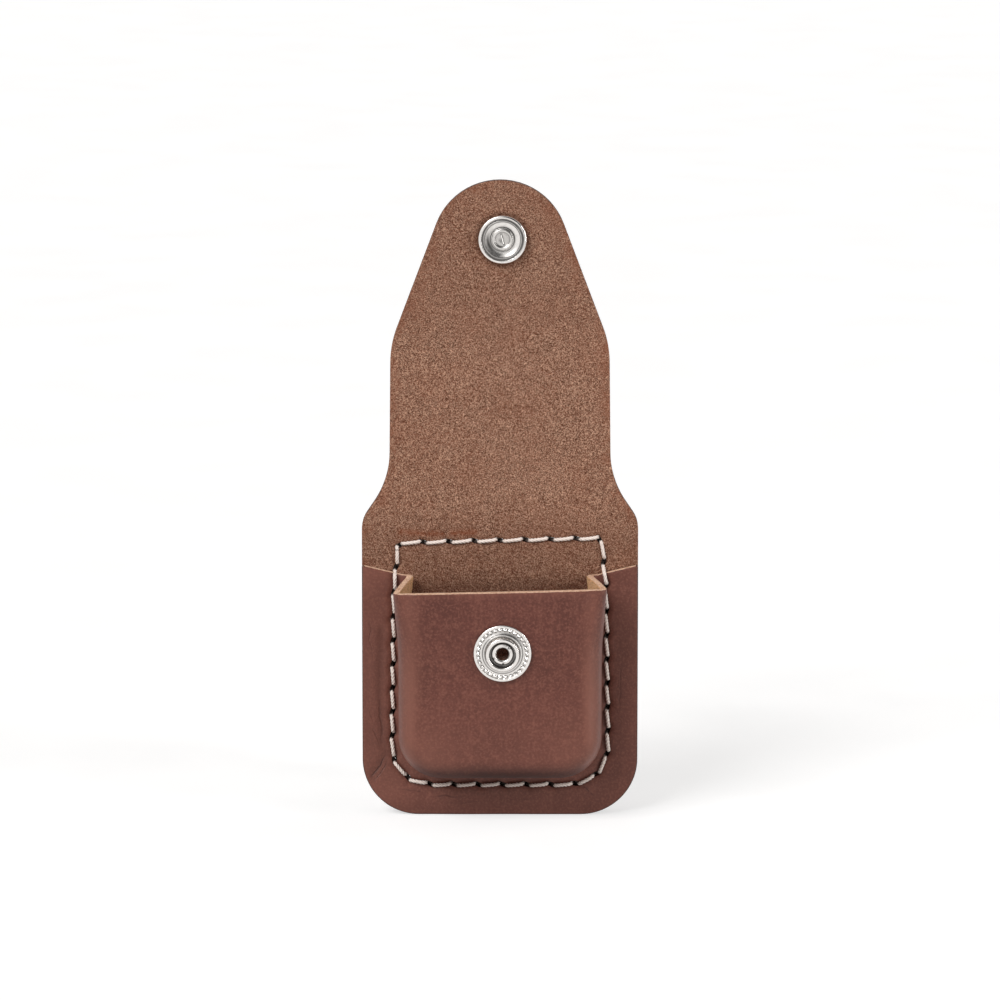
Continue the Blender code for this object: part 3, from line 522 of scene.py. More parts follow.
class Value:
    """A shader socket that Python's operators work on."""

    def __init__(self, graph: "Graph", socket: bpy.types.NodeSocket) -> None:
        """Wraps a socket of a graph."""
        self.graph = graph
        self.socket = socket

    def __add__(self, other: "Value | float") -> "Value":
        """Adds a value."""
        return self.graph.math("ADD", self, other)

    def __radd__(self, other: float) -> "Value":
        """Adds to a number."""
        return self.graph.math("ADD", other, self)

    def __sub__(self, other: "Value | float") -> "Value":
        """Takes a value off."""
        return self.graph.math("SUBTRACT", self, other)

    def __rsub__(self, other: float) -> "Value":
        """Takes this off a number."""
        return self.graph.math("SUBTRACT", other, self)

    def __mul__(self, other: "Value | float") -> "Value":
        """Multiplies by a value."""
        return self.graph.math("MULTIPLY", self, other)

    def __rmul__(self, other: float) -> "Value":
        """Multiplies a number."""
        return self.graph.math("MULTIPLY", other, self)

    def above(self, low: float, high: float) -> "Value":
        """Rises smoothly from 0 to 1, or falls where low is the larger.

        Args:
            low: Where the result is 0.
            high: Where it is 1.

        Returns:
            The risen value.
        """
        flip = low > high
        node = self.graph.node(
            "ShaderNodeMapRange", {"interpolation_type": "SMOOTHSTEP"},
            Value=self, From_Min=min(low, high), From_Max=max(low, high),
            To_Min=float(flip), To_Max=float(not flip))
        return Value(self.graph, node.outputs["Result"])


class Graph:
    """The node tree of a material or of the world."""

    def __init__(self, owner: Material | bpy.types.World) -> None:
        """Opens the tree of a material or of the world."""
        owner.use_nodes = True
        self.tree = owner.node_tree

    def node(self, kind: str, settings: dict[str, object] | None = None,
             **inputs: object) -> bpy.types.Node:
        """Adds a node.

        Args:
            kind: The node's type.
            settings: Its settings, which are set first.
            **inputs: Values or links of its sockets, by name or identifier, with _ for a space.

        Returns:
            The node.
        """
        made = self.tree.nodes.new(kind)
        for name, value in (settings or {}).items():
            setattr(made, name, value)
        for name, value in inputs.items():
            self.feed(self.find(made.inputs, name), value)
        return made

    @staticmethod
    def find(sockets: Sequence[bpy.types.NodeSocket], name: str) -> bpy.types.NodeSocket:
        """Finds a socket by its identifier, or else by its name.

        Args:
            sockets: The sockets to search.
            name: The identifier, or the name with _ for a space.

        Returns:
            The socket.
        """
        by_identifier = [s for s in sockets if s.identifier == name]
        by_name = [s for s in sockets if s.name == name.replace("_", " ")]
        return (by_identifier + by_name)[0]

    def feed(self, socket: bpy.types.NodeSocket, value: object) -> None:
        """Links a value to a socket, or sets the socket.

        Args:
            socket: The socket.
            value: A value to link, or what the socket is set to.
        """
        if isinstance(value, Value):
            self.tree.links.new(value.socket, socket)
        else:
            socket.default_value = value

    def math(self, operation: str, *operands: "Value | float") -> Value:
        """Works an operation on values.

        Args:
            operation: The Math node's operation.
            *operands: Its values or numbers.

        Returns:
            The result.
        """
        made = self.node("ShaderNodeMath", {"operation": operation})
        for socket, operand in zip(made.inputs, operands):
            self.feed(socket, operand)
        return Value(self, made.outputs[0])

    def greatest(self, *values: Value) -> Value:
        """Gives the greatest of some values."""
        return reduce(lambda one, other: self.math("MAXIMUM", one, other), values)

    def split(self, vector: Value) -> list[Value]:
        """Splits a vector into its three parts."""
        parts = self.node("ShaderNodeSeparateXYZ", Vector=vector).outputs
        return [Value(self, part) for part in parts]

    def spot(self, stretch: Triple = (1, 1, 1), turn: Triple = (0, 0, 0)) -> Value:
        """Gives the place on the piece.

        Args:
            stretch: The scale along each axis, after the turn.
            turn: The turn about each axis.

        Returns:
            The place.
        """
        where = Value(self, self.node("ShaderNodeTexCoord").outputs["Object"])
        for change in ({"Rotation": turn}, {"Scale": stretch}):
            moved = self.node("ShaderNodeMapping", {"vector_type": "POINT"}, Vector=where,
                              **change)
            where = Value(self, moved.outputs[0])
        return where

    def noise(self, size: float, detail: float = 2.0, roughness: float = 0.5,
              stretch: Triple = (1, 1, 1), turn: Triple = (0, 0, 0),
              distortion: float = 0.0) -> Value:
        """Gives soft noise of 0 to 1.

        Args:
            size: About how large its spots are.
            detail: How many finer layers it has.
            roughness: How strong these are.
            stretch: The scale along each axis; spots are long where it is small.
            turn: The turn about each axis.
            distortion: How far the spots are warped.

        Returns:
            The noise.
        """
        made = self.node("ShaderNodeTexNoise", {"noise_dimensions": "3D"},
                         Vector=self.spot(stretch, turn), Scale=1 / size, Detail=detail,
                         Roughness=roughness, Distortion=distortion)
        return Value(self, made.outputs[0])

    def cells(self, size: float) -> Value:
        """Gives the distance within cells of this size."""
        made = self.node("ShaderNodeTexVoronoi", Vector=self.spot(), Scale=1 / size)
        return Value(self, made.outputs["Distance"])

    def fibres(self, size: float, turn: float, width: float = 0.07) -> Value:
        """Gives thin curly lines of 1 on 0, with their distance, their turn and their width."""
        level = self.noise(size, 1.0, 0.5, turn=(turn, turn, turn), distortion=0.3)
        return self.math("ABSOLUTE", level - 0.5).above(width, 0.1 * width)

    def strokes(self, strokes: Sequence["Stroke"]) -> Value:
        """Draws fine lines of up to 1 on 0, a little shaky.

        Args:
            strokes: The lines, in the pouch's own layout.

        Returns:
            The lines together.
        """
        x, _, z = self.split(self.spot())
        x = x + (self.noise(2.6 * MM) - 0.5) * (1.6 * MM)
        z = z + (self.noise(3.4 * MM) - 0.5) * (1.6 * MM) - START.z
        drawn = []
        for stroke in strokes:
            way = Vector(stroke.end) - Vector(stroke.start)
            length, way = way.length, way.normalized()
            right, up = x - stroke.start[0], z - stroke.start[1]
            ahead, aside = right * way.x + up * way.y, up * way.x - right * way.y
            ends = ahead.above(0.0, 0.35 * length) * ahead.above(length, 0.65 * length)
            line = self.math("ABSOLUTE", aside).above(stroke.width, 0.15 * stroke.width)
            drawn.append(line * ends * stroke.strength)
        return self.greatest(*drawn)

    def attribute(self, name: str) -> Value:
        """Reads a number that the mesh stores for each vertex."""
        made = self.node("ShaderNodeAttribute", {"attribute_name": name})
        return Value(self, made.outputs["Fac"])

    def mix(self, factor: Value | float, low: Value | Colour, high: Value | Colour) -> Value:
        """Goes from one colour to another.

        Args:
            factor: How far it goes, of 0 to 1.
            low: The colour at 0.
            high: The colour at 1.

        Returns:
            The colour.
        """
        made = self.node("ShaderNodeMix", {"data_type": "RGBA"},
                         Factor_Float=factor, A_Color=low, B_Color=high)
        return Value(self, self.find(made.outputs, "Result_Color"))

    def coat(self, colour: Value | Colour,
             *coats: tuple[Value, float, float, float, Colour]) -> Value:
        """Lays colours over a colour, each where a value rises.

        Args:
            colour: What they are laid on.
            *coats: Each one's value, where it starts, where it is full, its strength and its
                colour.

        Returns:
            The colour.
        """
        for value, low, high, strength, over in coats:
            colour = self.mix(value.above(low, high) * strength, colour, over)
        return colour

    def bump(self, height: Value, depth: float, strength: float,
             under: Value | None = None) -> Value:
        """Raises the surface.

        Args:
            height: How far it rises, of 0 to 1.
            depth: How far that is in metres.
            strength: How much of it shows.
            under: The normal of what lies under it, if any.

        Returns:
            The normal.
        """
        given = {} if under is None else {"Normal": under}
        made = self.node("ShaderNodeBump", Height=height, Distance=depth, Strength=strength,
                         **given)
        return Value(self, made.outputs[0])

    def ray(self, kind: str) -> Value:
        """Gives 1 for rays of one kind and 0 for others."""
        return Value(self, self.node("ShaderNodeLightPath").outputs[f"Is {kind} Ray"])


class MaterialGraph(Graph):
    """The node tree of one material with its Principled shader."""

    def __init__(self, name: str) -> None:
        """Starts a material.

        Args:
            name: Its name.
        """
        self.material = bpy.data.materials.new(name)
        super().__init__(self.material)
        self.shader = self.tree.nodes["Principled BSDF"]

    def finish(self, **inputs: object) -> Material:
        """Sets the sockets of the Principled shader.

        Args:
            **inputs: Values or links of its sockets.

        Returns:
            The material.
        """
        for name, value in inputs.items():
            self.feed(self.find(self.shader.inputs, name), value)
        return self.material


# Finishes


@dataclass(frozen=True)
class Stroke:
    """A fine painted-shade crease on the pocket: its ends in X and height, its width and
    strength.
    """

    start: Pair
    end: Pair
    width: float
    strength: float


# Fine creases on the pocket's flange, drawn with painted shade.
STROKES = tuple(Stroke((x0 * MM, z0 * MM), (x1 * MM, z1 * MM), width * MM, strength)
                for x0, z0, x1, z1, width, strength in (
    (-22.9, 12.7, -26.4, 7.2, 0.26, 0.9), (-22.3, 11.8, -25.6, 6.4, 0.2, 0.6),
    (-24.1, 25.0, -23.8, 13.6, 0.3, 0.45), (-25.9, 18.0, -24.3, 14.2, 0.2, 0.35),
    (-26.6, 22.4, -25.4, 18.8, 0.18, 0.3), (-26.3, 41.0, -26.0, 32.0, 0.2, 0.3),
    (-14.0, 3.9, -7.4, 3.5, 0.2, 0.55), (-20.6, 5.4, -14.4, 4.2, 0.22, 0.45),
    (-12.0, 2.5, -3.0, 2.3, 0.18, 0.3), (1.2, 3.0, 7.4, 3.3, 0.18, 0.3),
    (16.6, 5.8, 18.7, 4.7, 0.2, 0.6), (18.4, 4.9, 18.9, 3.5, 0.2, 0.5),
    (24.4, 33.0, 24.1, 20.0, 0.22, 0.3)))


@dataclass(frozen=True)
class FleshFinish:
    """The rough, fibrous inner side of leather."""

    name: str
    base: Colour = srgb(138, 92, 72)
    # The pit colour darkens the flesh's pits and also carries its painted shade.
    pit_and_shade: Colour = srgb(60, 27, 13)
    fibre: Colour = srgb(214, 169, 142)
    edge: Colour = srgb(152, 94, 70)
    stain: Colour = srgb(150, 78, 46)
    nap_size: float = 0.25 * MM
    nap_depth: float = 0.28 * MM
    contrast: float = 0.95
    curls: Sequence[Pair] = ((1.5, 0.0), (1.9, 0.9), (1.2, 2.1))

    def make(self) -> Material:
        """Builds the material, its curls being fibres of a size and a turn.

        Returns:
            The material.
        """
        graph = MaterialGraph(self.name)
        nap = graph.noise(self.nap_size, 2.0, 0.6, distortion=0.4)
        pits = graph.noise(self.nap_size * 1.2, 2.0, 0.6)
        curl = graph.greatest(*(graph.fibres(self.nap_size * size, turn)
                                for size, turn in self.curls))
        mottle = graph.noise(2.2 * MM, 3.0, 0.6)
        colour = graph.coat(
            self.base, (pits, 0.52, 0.38, self.contrast * 0.8, self.pit_and_shade),
            (graph.noise(1.5 * MM, 2.0, 0.6), 0.55, 0.3, 0.3, self.pit_and_shade))
        colour = graph.mix(curl * nap.above(0.36, 0.56) * self.contrast, colour, self.fibre)
        colour = graph.coat(colour, (graph.noise(9 * MM, 3.0, 0.55), 0.35, 0.7, 0.2, self.edge))
        near_edge = graph.attribute("edge_near") * mottle.above(0.36, 0.66)
        colour = graph.mix(near_edge * 0.5, colour, self.edge)
        pressed = graph.attribute("pressed") * mottle.above(0.3, 0.5)
        colour = graph.mix(pressed * 0.6, colour, self.stain)
        # Painted shade: in the slits, in the pocket, near the seam and top, and round the socket.
        colour = graph.mix(graph.attribute("soil"), colour, self.pit_and_shade)
        normal = graph.bump(nap * 0.5 + curl * 0.35 + pits * 0.4, self.nap_depth, 0.9)
        return graph.finish(Base_Color=colour, Roughness=0.95, Normal=normal,
                            Specular_IOR_Level=0.18)


@dataclass(frozen=True)
class GrainFinish:
    """The smooth, red-brown outer side of leather."""

    name: str
    base: Colour = srgb(100, 55, 46)
    deep: Colour = srgb(74, 37, 30)
    # The lighter tone serves random tone, wear and painted highlights; the darkest one painted
    # shade.
    rub_and_highlight: Colour = srgb(136, 86, 72)
    shade_tone: Colour = srgb(46, 17, 11)
    sheen: Colour = (1.0, 0.9, 0.85, 1)
    strokes: Sequence[Stroke] = STROKES
    scratch_turns: Pair = (math.radians(24), math.radians(-38))

    def make(self) -> Material:
        """Builds the material.

        Returns:
            The material.
        """
        graph = MaterialGraph(self.name)
        cloud = graph.noise(11 * MM, 4.0, 0.6)
        mottle = graph.noise(2.6 * MM, 3.0, 0.6)
        speck = graph.noise(1.1 * MM, 2.0, 0.6)
        streak = graph.noise(1.5 * MM, 3.0, 0.6, stretch=(1, 1, 0.055))
        fine = graph.noise(0.5 * MM, 2.0, 0.6)
        scratch, scuff = (
            graph.noise(size, 1.0, 0.5, stretch=(1, 1, long), turn=(0, turn, 0))
            for size, long, turn in zip((1.3 * MM, 1.1 * MM), (0.07, 0.06),
                                        self.scratch_turns))
        lines = scratch.above(0.72, 0.76) + scuff.above(0.73, 0.77)
        colour = graph.coat(
            self.base, (cloud, 0.35, 0.68, 0.45, self.deep),
            (mottle, 0.5, 0.72, 0.24, self.rub_and_highlight), (mottle, 0.48, 0.28, 0.24, self.deep),
            (speck, 0.52, 0.7, 0.17, self.rub_and_highlight), (speck, 0.46, 0.3, 0.17, self.deep),
            (streak, 0.5, 0.72, 0.16, self.rub_and_highlight), (streak, 0.48, 0.28, 0.24, self.deep),
            (lines, 0.0, 1.0, 0.16, self.rub_and_highlight),
            (fine, 0.5, 0.64, 0.42, self.rub_and_highlight), (fine, 0.48, 0.36, 0.4, self.deep))
        worn, crease = graph.attribute("worn"), graph.attribute("crease")
        wrinkle = graph.strokes(self.strokes) * graph.attribute("folds")
        # Wear and painted highlights lighten the grain; painted shade darkens creases, seam and
        # roll.
        for share, over in ((worn * 0.85, self.rub_and_highlight), (wrinkle * 0.75, self.shade_tone),
                            (crease, self.shade_tone)):
            colour = graph.mix(share, colour, over)
        normal = None
        for height, depth, strength in (
                (graph.cells(0.62 * MM).above(0.1, 0.34), 0.03 * MM, 0.5),
                (fine, 0.05 * MM, 0.5), (graph.noise(4.5 * MM, 3.0, 0.55), 0.35 * MM, 0.5),
                (1.0 - wrinkle, 0.14 * MM, 0.7)):
            normal = graph.bump(height, depth, strength, normal)
        rough = 0.43 + fine * 0.12 - worn * 0.14 + crease * 0.4
        return graph.finish(Base_Color=colour, Roughness=rough, Normal=normal,
                            Specular_IOR_Level=0.42, Specular_Tint=self.sheen)


@dataclass(frozen=True)
class CutEdgeFinish:
    """The cut edge of leather, with its layered fibres."""

    name: str
    base: Colour = srgb(234, 198, 170)
    shade: Colour = srgb(176, 126, 98)
    roughness: float = 0.9

    def make(self) -> Material:
        """Builds the material.

        Returns:
            The material.
        """
        graph = MaterialGraph(self.name)
        fibre = graph.noise(0.5 * MM, 3.0, 0.65)
        clump = graph.noise(1.6 * MM, 3.0, 0.6)
        colour = graph.coat(self.base, (fibre, 0.56, 0.36, 0.7, self.shade),
                            (clump, 0.5, 0.72, 0.45, self.shade))
        return graph.finish(Base_Color=colour, Roughness=self.roughness,
                            Normal=graph.bump(fibre, 0.25 * MM, 0.8), Specular_IOR_Level=0.25)


@dataclass(frozen=True)
class ThreadFinish:
    """Thick waxed off-white thread."""

    name: str
    base: Colour = srgb(253, 242, 234)
    shade: Colour = srgb(198, 168, 152)
    depth: Colour = srgb(56, 32, 24)

    def make(self) -> Material:
        """Builds the material.

        Returns:
            The material.
        """
        graph = MaterialGraph(self.name)
        fibre = graph.noise(0.22 * MM, 2.0, 0.6)
        dirt = graph.noise(3.5 * MM, 3.0, 0.6)
        colour = graph.coat(self.base, (fibre, 0.5, 0.3, 0.25, self.shade),
                            (dirt, 0.5, 0.75, 0.2, self.shade))
        # Painted shade between the plies and where the thread lies in the slits.
        colour = graph.mix(graph.attribute("hollow") * 0.4, colour, self.shade)
        colour = graph.mix(graph.attribute("soil") * 0.74, colour, self.depth)
        return graph.finish(Base_Color=colour, Roughness=0.72,
                            Normal=graph.bump(fibre, 0.06 * MM, 0.7), Specular_IOR_Level=0.3)


class Polish(Enum):
    """How a metal's surface was finished."""

    BRIGHT = 0.16
    SATIN = 0.3


@dataclass(frozen=True)
class MetalFinish:
    """Plated metal with fine wear."""

    name: str
    polish: Polish = Polish.BRIGHT
    base: Colour = srgb(230, 226, 222)
    tarnish_and_shade: Colour = srgb(26, 22, 20)
    along: Triple = (1, 1, 1)

    def make(self) -> Material:
        """Builds the material.

        Returns:
            The material.
        """
        graph = MaterialGraph(self.name)
        wear = graph.noise(0.9 * MM, 3.0, 0.6)
        line = graph.noise(0.35 * MM, 3.0, 0.7, stretch=self.along)
        hollow = graph.attribute("hollow")
        colour = graph.coat(self.base, (wear, 0.5, 0.85, 0.16, self.tarnish_and_shade))
        # Painted shade and painted dark reflections, stored on each part, darken the colour.
        colour = graph.mix(hollow * 0.9, colour, self.tarnish_and_shade)
        rough = self.polish.value + wear.above(0.4, 0.8) * 0.1 + hollow * 0.25
        return graph.finish(Base_Color=colour, Metallic=1.0,
                            Roughness=rough + line.above(0.45, 0.7) * 0.06,
                            Normal=graph.bump(line, 0.012 * MM, 0.5))


# Sizes that several pieces share


@dataclass(frozen=True)
class Plan:
    """What several pieces share: the layers, from the panel's front side, and the outline."""

    panel: float = 1.8 * MM
    patch: float = 1.8 * MM
    pocket: float = 1.6 * MM
    seat: float = 0.25 * MM
    width: float = 55.5 * MM
    foot_radius: float = 11.5 * MM
    edge_round: float = 0.4 * MM
    corner_steps: int = 24
    snap_aside: float = 0.5 * MM
    socket_height: float = 117.0 * MM
    stud_height: float = 36.2 * MM
    snap_hole_radius: float = 2.0 * MM
    punch_ends: Pair = (-4.0 * MM, 4.0 * MM)
    tool_reach: float = 2.0 * MM

    @property
    def patch_front(self) -> float:
        """Gives the front side of the backing patch."""
        return self.panel + self.seat

    @property
    def patch_back(self) -> float:
        """Gives the back side of the backing patch."""
        return self.patch_front + self.patch

    @property
    def flange_flesh(self) -> float:
        """Gives the side of the pocket's flange that lies on the panel."""
        return -self.seat

    @property
    def flange_grain(self) -> float:
        """Gives the front side of the pocket's flange."""
        return self.flange_flesh - self.pocket


PLAN = Plan()


def frame_place() -> Vector:
    """Gives where the pouch's own layout starts in the frame."""
    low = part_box("back_panel")[0]
    return Vector((0, low.y, low.z))


START = frame_place()


def into_frame(thing: Piece) -> None:
    """Moves a piece from the pouch's own layout into the frame, in its mesh."""
    set_places(thing, places_of(thing) + np.array(START))


# The saddle stitch


@dataclass(frozen=True)
class Slit:
    """One slit of the seam: its middle, and the ways of the stitches before and after it."""

    centre: Array
    before: Array
    after: Array

    def hole(self, first: bool, near: bool, along: float, aside: float) -> Array:
        """Gives where a thread passes.

        Args:
            first: Whether this is the thread that goes in here.
            near: Whether the place is on the side of the stitch before.
            along: How far the place lies from the middle along the seam.
            aside: How far it lies beside the seam.

        Returns:
            The place in X and Z.
        """
        way = -self.before if near else self.after
        seam = self.before if near else self.after
        side = np.array([-seam[1], seam[0]]) * (aside if first else -aside)
        return self.centre + way * along + side


@dataclass
class Stitching:
    """The saddle stitch with its two threads, round the pocket and above its mouth."""

    top_height: float = 56.0 * MM
    top_width: float = 40.9 * MM
    top_lean: float = 0.5 * MM
    mouth_height: float = 46.2 * MM
    mouth_width: float = 42.6 * MM
    mouth_radius: float = 20.0 * MM
    foot_height: float = 6.2 * MM
    foot_width: float = 43.8 * MM
    foot_radius: float = 7.0 * MM
    arc_steps: int = 12
    pitch: float = 5.0 * MM
    along: float = 0.82 * MM
    aside: float = 0.3 * MM
    aside_in_sight: float = 0.18 * MM
    slit_end: float = 0.25 * MM
    slit_half_width: float = 0.5 * MM
    thread_radius: float = 0.36 * MM
    lift: float = 0.22 * MM
    crown: float = 0.1 * MM
    bend: float = 0.5 * MM
    dive: float = 0.25 * MM
    cross: float = 1.1 * MM
    ply_count: int = 3
    ply_depth_share: float = 0.13
    ply_pitch: float = 2.1 * MM
    ply_shade: float = 0.8
    profile_points: int = 18
    point_step: float = 0.24 * MM
    curve_steps: int = 12
    pull: float = 0.33
    climb: Pair = (0.2, 0.8)
    shade_depths: Pair = (-0.05 * MM, 0.4 * MM)
    blade_sides: int = 14
    groove_depth: float = 0.26 * MM
    groove_width: float = 0.6 * MM
    funnel_depth: float = 0.3 * MM
    funnel_width: float = 0.85 * MM
    slits: list[Slit] = field(init=False)

    def __post_init__(self) -> None:
        """Lays out the slits."""
        path = rounded([
            (-self.top_width / 2, self.top_height - self.top_lean, 0),
            (self.top_width / 2, self.top_height + self.top_lean, 0),
            (self.mouth_width / 2, self.mouth_height, self.mouth_radius),
            (self.foot_width / 2, self.foot_height, self.foot_radius),
            (-self.foot_width / 2, self.foot_height, self.foot_radius),
            (-self.mouth_width / 2, self.mouth_height, self.mouth_radius)], self.arc_steps)
        centres = self.even_starts(path[:2]) + self.even_starts(np.vstack([path[1:], path[:1]]))
        self.slits = []
        for index, centre in enumerate(centres):
            before = centre - centres[index - 1]
            after = centres[(index + 1) % len(centres)] - centre
            self.slits.append(Slit(centre, before / np.linalg.norm(before),
                                   after / np.linalg.norm(after)))

    def even_starts(self, path: Array) -> list[Array]:
        """Lays an even number of equal stitches along a path.

        Args:
            path: The points of the path.

        Returns:
            The starts of the stitches.
        """
        total = along(path)[-1]
        count = 2 * max(1, round(total / self.pitch / 2))
        return list(resample(path, count + 1)[:-1])

    def hole(self, index: int, first: int, back: bool, inside: bool = False) -> Array:
        """Gives where a thread passes a slit on one side; the threads cross inside it.

        Args:
            index: The slit's number.
            first: 0 or 1, the slit at which this thread first goes in.
            back: Whether the place is on the back.
            inside: Whether it lies within the leather.

        Returns:
            The place in X and Z.
        """
        slit = self.slits[index % len(self.slits)]
        goes_in = (index + first) % 2 == 0
        return slit.hole(goes_in, goes_in != back, self.along,
                         self.aside if inside else self.aside_in_sight)

    def runs(self, back: bool) -> list[Array]:
        """Lists the straight runs of thread that show on one side.

        Args:
            back: Whether the side is the back.

        Returns:
            The two ends of each run.
        """
        made = []
        for index in range(len(self.slits)):
            first = (index + 1 + back) % 2
            made.append(np.stack([self.hole(index, first, back),
                                  self.hole(index + 1, first, back)]))
        return made

    def dent(self, x: Array, z: Array, back: bool) -> Array:
        """Says how deep the thread has pulled the leather in, on one side.

        Args:
            x: The places in X.
            z: Their heights.
            back: Whether the side is the back.

        Returns:
            The depth at each place.
        """
        groove = mound(distance_to(x, z, *self.runs(back)), self.groove_width)
        funnel = mound(distance_to(x, z, *self.slit_ends()), self.funnel_width)
        return self.groove_depth * groove + self.funnel_depth * funnel

    def shadow(self, x: Array, z: Array, back: bool, runs: Pair, slits: Pair) -> Array:
        """Gives the seam's painted shade on one side, by the strength and width of its two kinds.
        """
        return np.maximum(runs[0] * mound(distance_to(x, z, *self.runs(back)), runs[1]),
                          slits[0] * mound(distance_to(x, z, *self.slit_ends()), slits[1]))

    def slit_ends(self) -> list[Array]:
        """Lists the two holes of each slit on the front side.

        Returns:
            The middles of the two holes, for each slit.
        """
        return [np.stack([slit.hole(True, True, self.along, self.aside),
                          slit.hole(False, False, self.along, self.aside)])
                for slit in self.slits]

    def awl(self) -> Piece:
        """Makes the tool that cuts every slit.

        Returns:
            One mesh with an oval blade at each slit.
        """
        blades = []
        front, back = PLAN.flange_grain - PLAN.tool_reach, PLAN.patch_back + PLAN.tool_reach
        blade = add(bpy.ops.mesh.primitive_cylinder_add, "blade", vertices=self.blade_sides,
                    radius=1, depth=1)
        blade.data.materials.clear()
        for start, end in self.slit_ends():
            copy = blade.copy()
            copy.data = blade.data.copy()
            bpy.context.collection.objects.link(copy)
            way, middle = (end - start) / 2, (start + end) / 2
            copy.matrix_world = (
                Matrix.Translation((middle[0], (front + back) / 2, middle[1]))
                @ Matrix.Rotation(-math.atan2(way[1], way[0]), 4, "Y")
                @ Matrix.Diagonal((np.linalg.norm(way) + self.slit_end, 1,
                                   self.slit_half_width, 1))
                @ Matrix.Rotation(math.pi / 2, 4, "X")
                @ Matrix.Diagonal((1, 1, back - front, 1)))
            blades.append(copy)
        remove(blade)
        tool = join(blades, weld=False)
        make_active(tool)
        bpy.ops.object.transform_apply(location=True, rotation=True, scale=True)
        with editing(tool, Picking.FACES):
            face_outward()
        set_slots(tool, Slot.HOLE)
        return tool

    def route(self, first: int, pocket: "Pocket") -> Array:
        """Lays the closed route of one thread, in and out of the slits by turns.

        Args:
            first: 0 or 1, the slit at which this thread first goes in.
            pocket: The pocket that it is sewn through.

        Returns:
            The points of the route.
        """
        points: list[Triple] = []
        back = PLAN.patch_back
        for index in range(len(self.slits)):
            goes_in = (index + first) % 2 == 0
            spot, behind = (self.hole(index, first, side, True) for side in (False, True))
            step = -1 if goes_in else 1
            front_way = Vector(self.hole(index + step, first, False) - spot).normalized()
            back_way = Vector(self.hole(index - step, first, True) - behind).normalized()
            front = pocket.front_level(self.slits[index].centre)
            way_in, way_out = (self.hole(index, first, side) for side in (False, True))
            near = Vector(way_in) + front_way * self.bend
            far = Vector(way_out) + back_way * self.bend
            leg = [(near.x, front - self.lift, near.y),
                   (way_in[0], front + self.dive, way_in[1]),
                   (spot[0], front + self.cross, spot[1]),
                   (behind[0], back - self.cross, behind[1]),
                   (way_out[0], back - self.dive, way_out[1]),
                   (far.x, back + self.lift, far.y)]
            points += leg if goes_in else leg[::-1]
            start, end = (self.hole(index + more, first, goes_in) for more in (0, 1))
            crest = (start + end) / 2
            next_front = pocket.front_level(self.slits[(index + 1) % len(self.slits)].centre)
            level = back + self.lift + self.crown if goes_in else front - self.lift - self.crown
            if not goes_in and next_front != front:
                # The stitch climbs over the flange's top edge.
                edge = pocket.flange_top(crest[0]) + self.lift
                share = np.clip((edge - start[1]) / (end[1] - start[1]), *self.climb)
                crest, level = start + (end - start) * share, PLAN.flange_grain - self.lift
            points.append((crest[0], level, crest[1]))
        return np.array(points)

    def smooth(self, points: Array) -> Array:
        """Runs a smooth closed line through points.

        Args:
            points: The points.

        Returns:
            The line's own points, in even steps.
        """
        before, after = np.roll(points, 1, axis=0), np.roll(points, -1, axis=0)
        beyond = np.roll(points, -2, axis=0)
        shares = np.linspace(0, 1, self.curve_steps, endpoint=False)[None, :, None]
        start, way_in = points[:, None], (after - before)[:, None] * self.pull
        end, way_out = after[:, None], (beyond - points)[:, None] * self.pull
        s2, s3 = shares ** 2, shares ** 3
        line = (start * (2 * s3 - 3 * s2 + 1) + way_in * (s3 - 2 * s2 + shares)
                + end * (3 * s2 - 2 * s3) + way_out * (s3 - s2)).reshape(-1, 3)
        line = np.vstack([line, line[:1]])
        return resample(line, int(along(line)[-1] / self.point_step))[:-1]

    def build(self, name: str, first: int, pocket: "Pocket") -> Piece:
        """Makes one thread as a laid cord of three plies.

        Args:
            name: The piece's name.
            first: 0 or 1, the slit at which this thread goes in.
            pocket: The pocket that it is sewn through.

        Returns:
            The thread.
        """
        line = self.smooth(self.route(first, pocket))
        profile = add(bpy.ops.curve.primitive_bezier_circle_add, "profile",
                      radius=self.thread_radius)
        profile.data.splines.clear()
        section = profile.data.splines.new("POLY")
        section.points.add(self.profile_points - 1)
        for step, point in enumerate(section.points):
            angle = 2 * math.pi * step / self.profile_points
            lobe = 1 + self.ply_depth_share * math.cos(self.ply_count * angle)
            reach = self.thread_radius * lobe
            point.co = (reach * math.cos(angle), reach * math.sin(angle), 0, 1)
        section.use_cyclic_u = True

        cord = add(bpy.ops.curve.primitive_nurbs_path_add, name)
        cord.data.splines.clear()
        cord.data.bevel_mode = "OBJECT"
        cord.data.bevel_object = profile
        cord.data.twist_mode = "MINIMUM"
        spline = cord.data.splines.new("POLY")
        spline.points.add(len(line) - 1)
        spline.points.foreach_set("co", np.hstack([line, np.ones((len(line), 1))]).reshape(-1))
        tilt = np.arange(len(line)) * self.point_step / self.ply_pitch * 2 * math.pi
        spline.points.foreach_set("tilt", tilt)
        spline.use_cyclic_u = True
        make_active(cord)
        bpy.ops.object.convert(target="MESH")
        cord = bpy.context.object
        remove(profile)
        self.mark(cord, line, pocket)
        into_frame(cord)
        make_active(cord)
        bpy.ops.object.shade_smooth()
        return cord

    def mark(self, cord: Piece, line: Array, pocket: "Pocket") -> None:
        """Stores painted shade between the plies and where the thread lies in a slit.

        Args:
            cord: The thread.
            line: The line that it follows.
            pocket: The pocket that it is sewn through.
        """
        places = places_of(cord)
        ring = np.repeat(np.arange(len(line)), self.profile_points)
        reach = np.linalg.norm(places - line[ring], axis=1) / self.thread_radius
        low, high = 1 - self.ply_depth_share, 1 + self.ply_depth_share
        x, y, z = places.T
        front = np.where(z < pocket.flange_top(x), PLAN.flange_grain, 0.0)
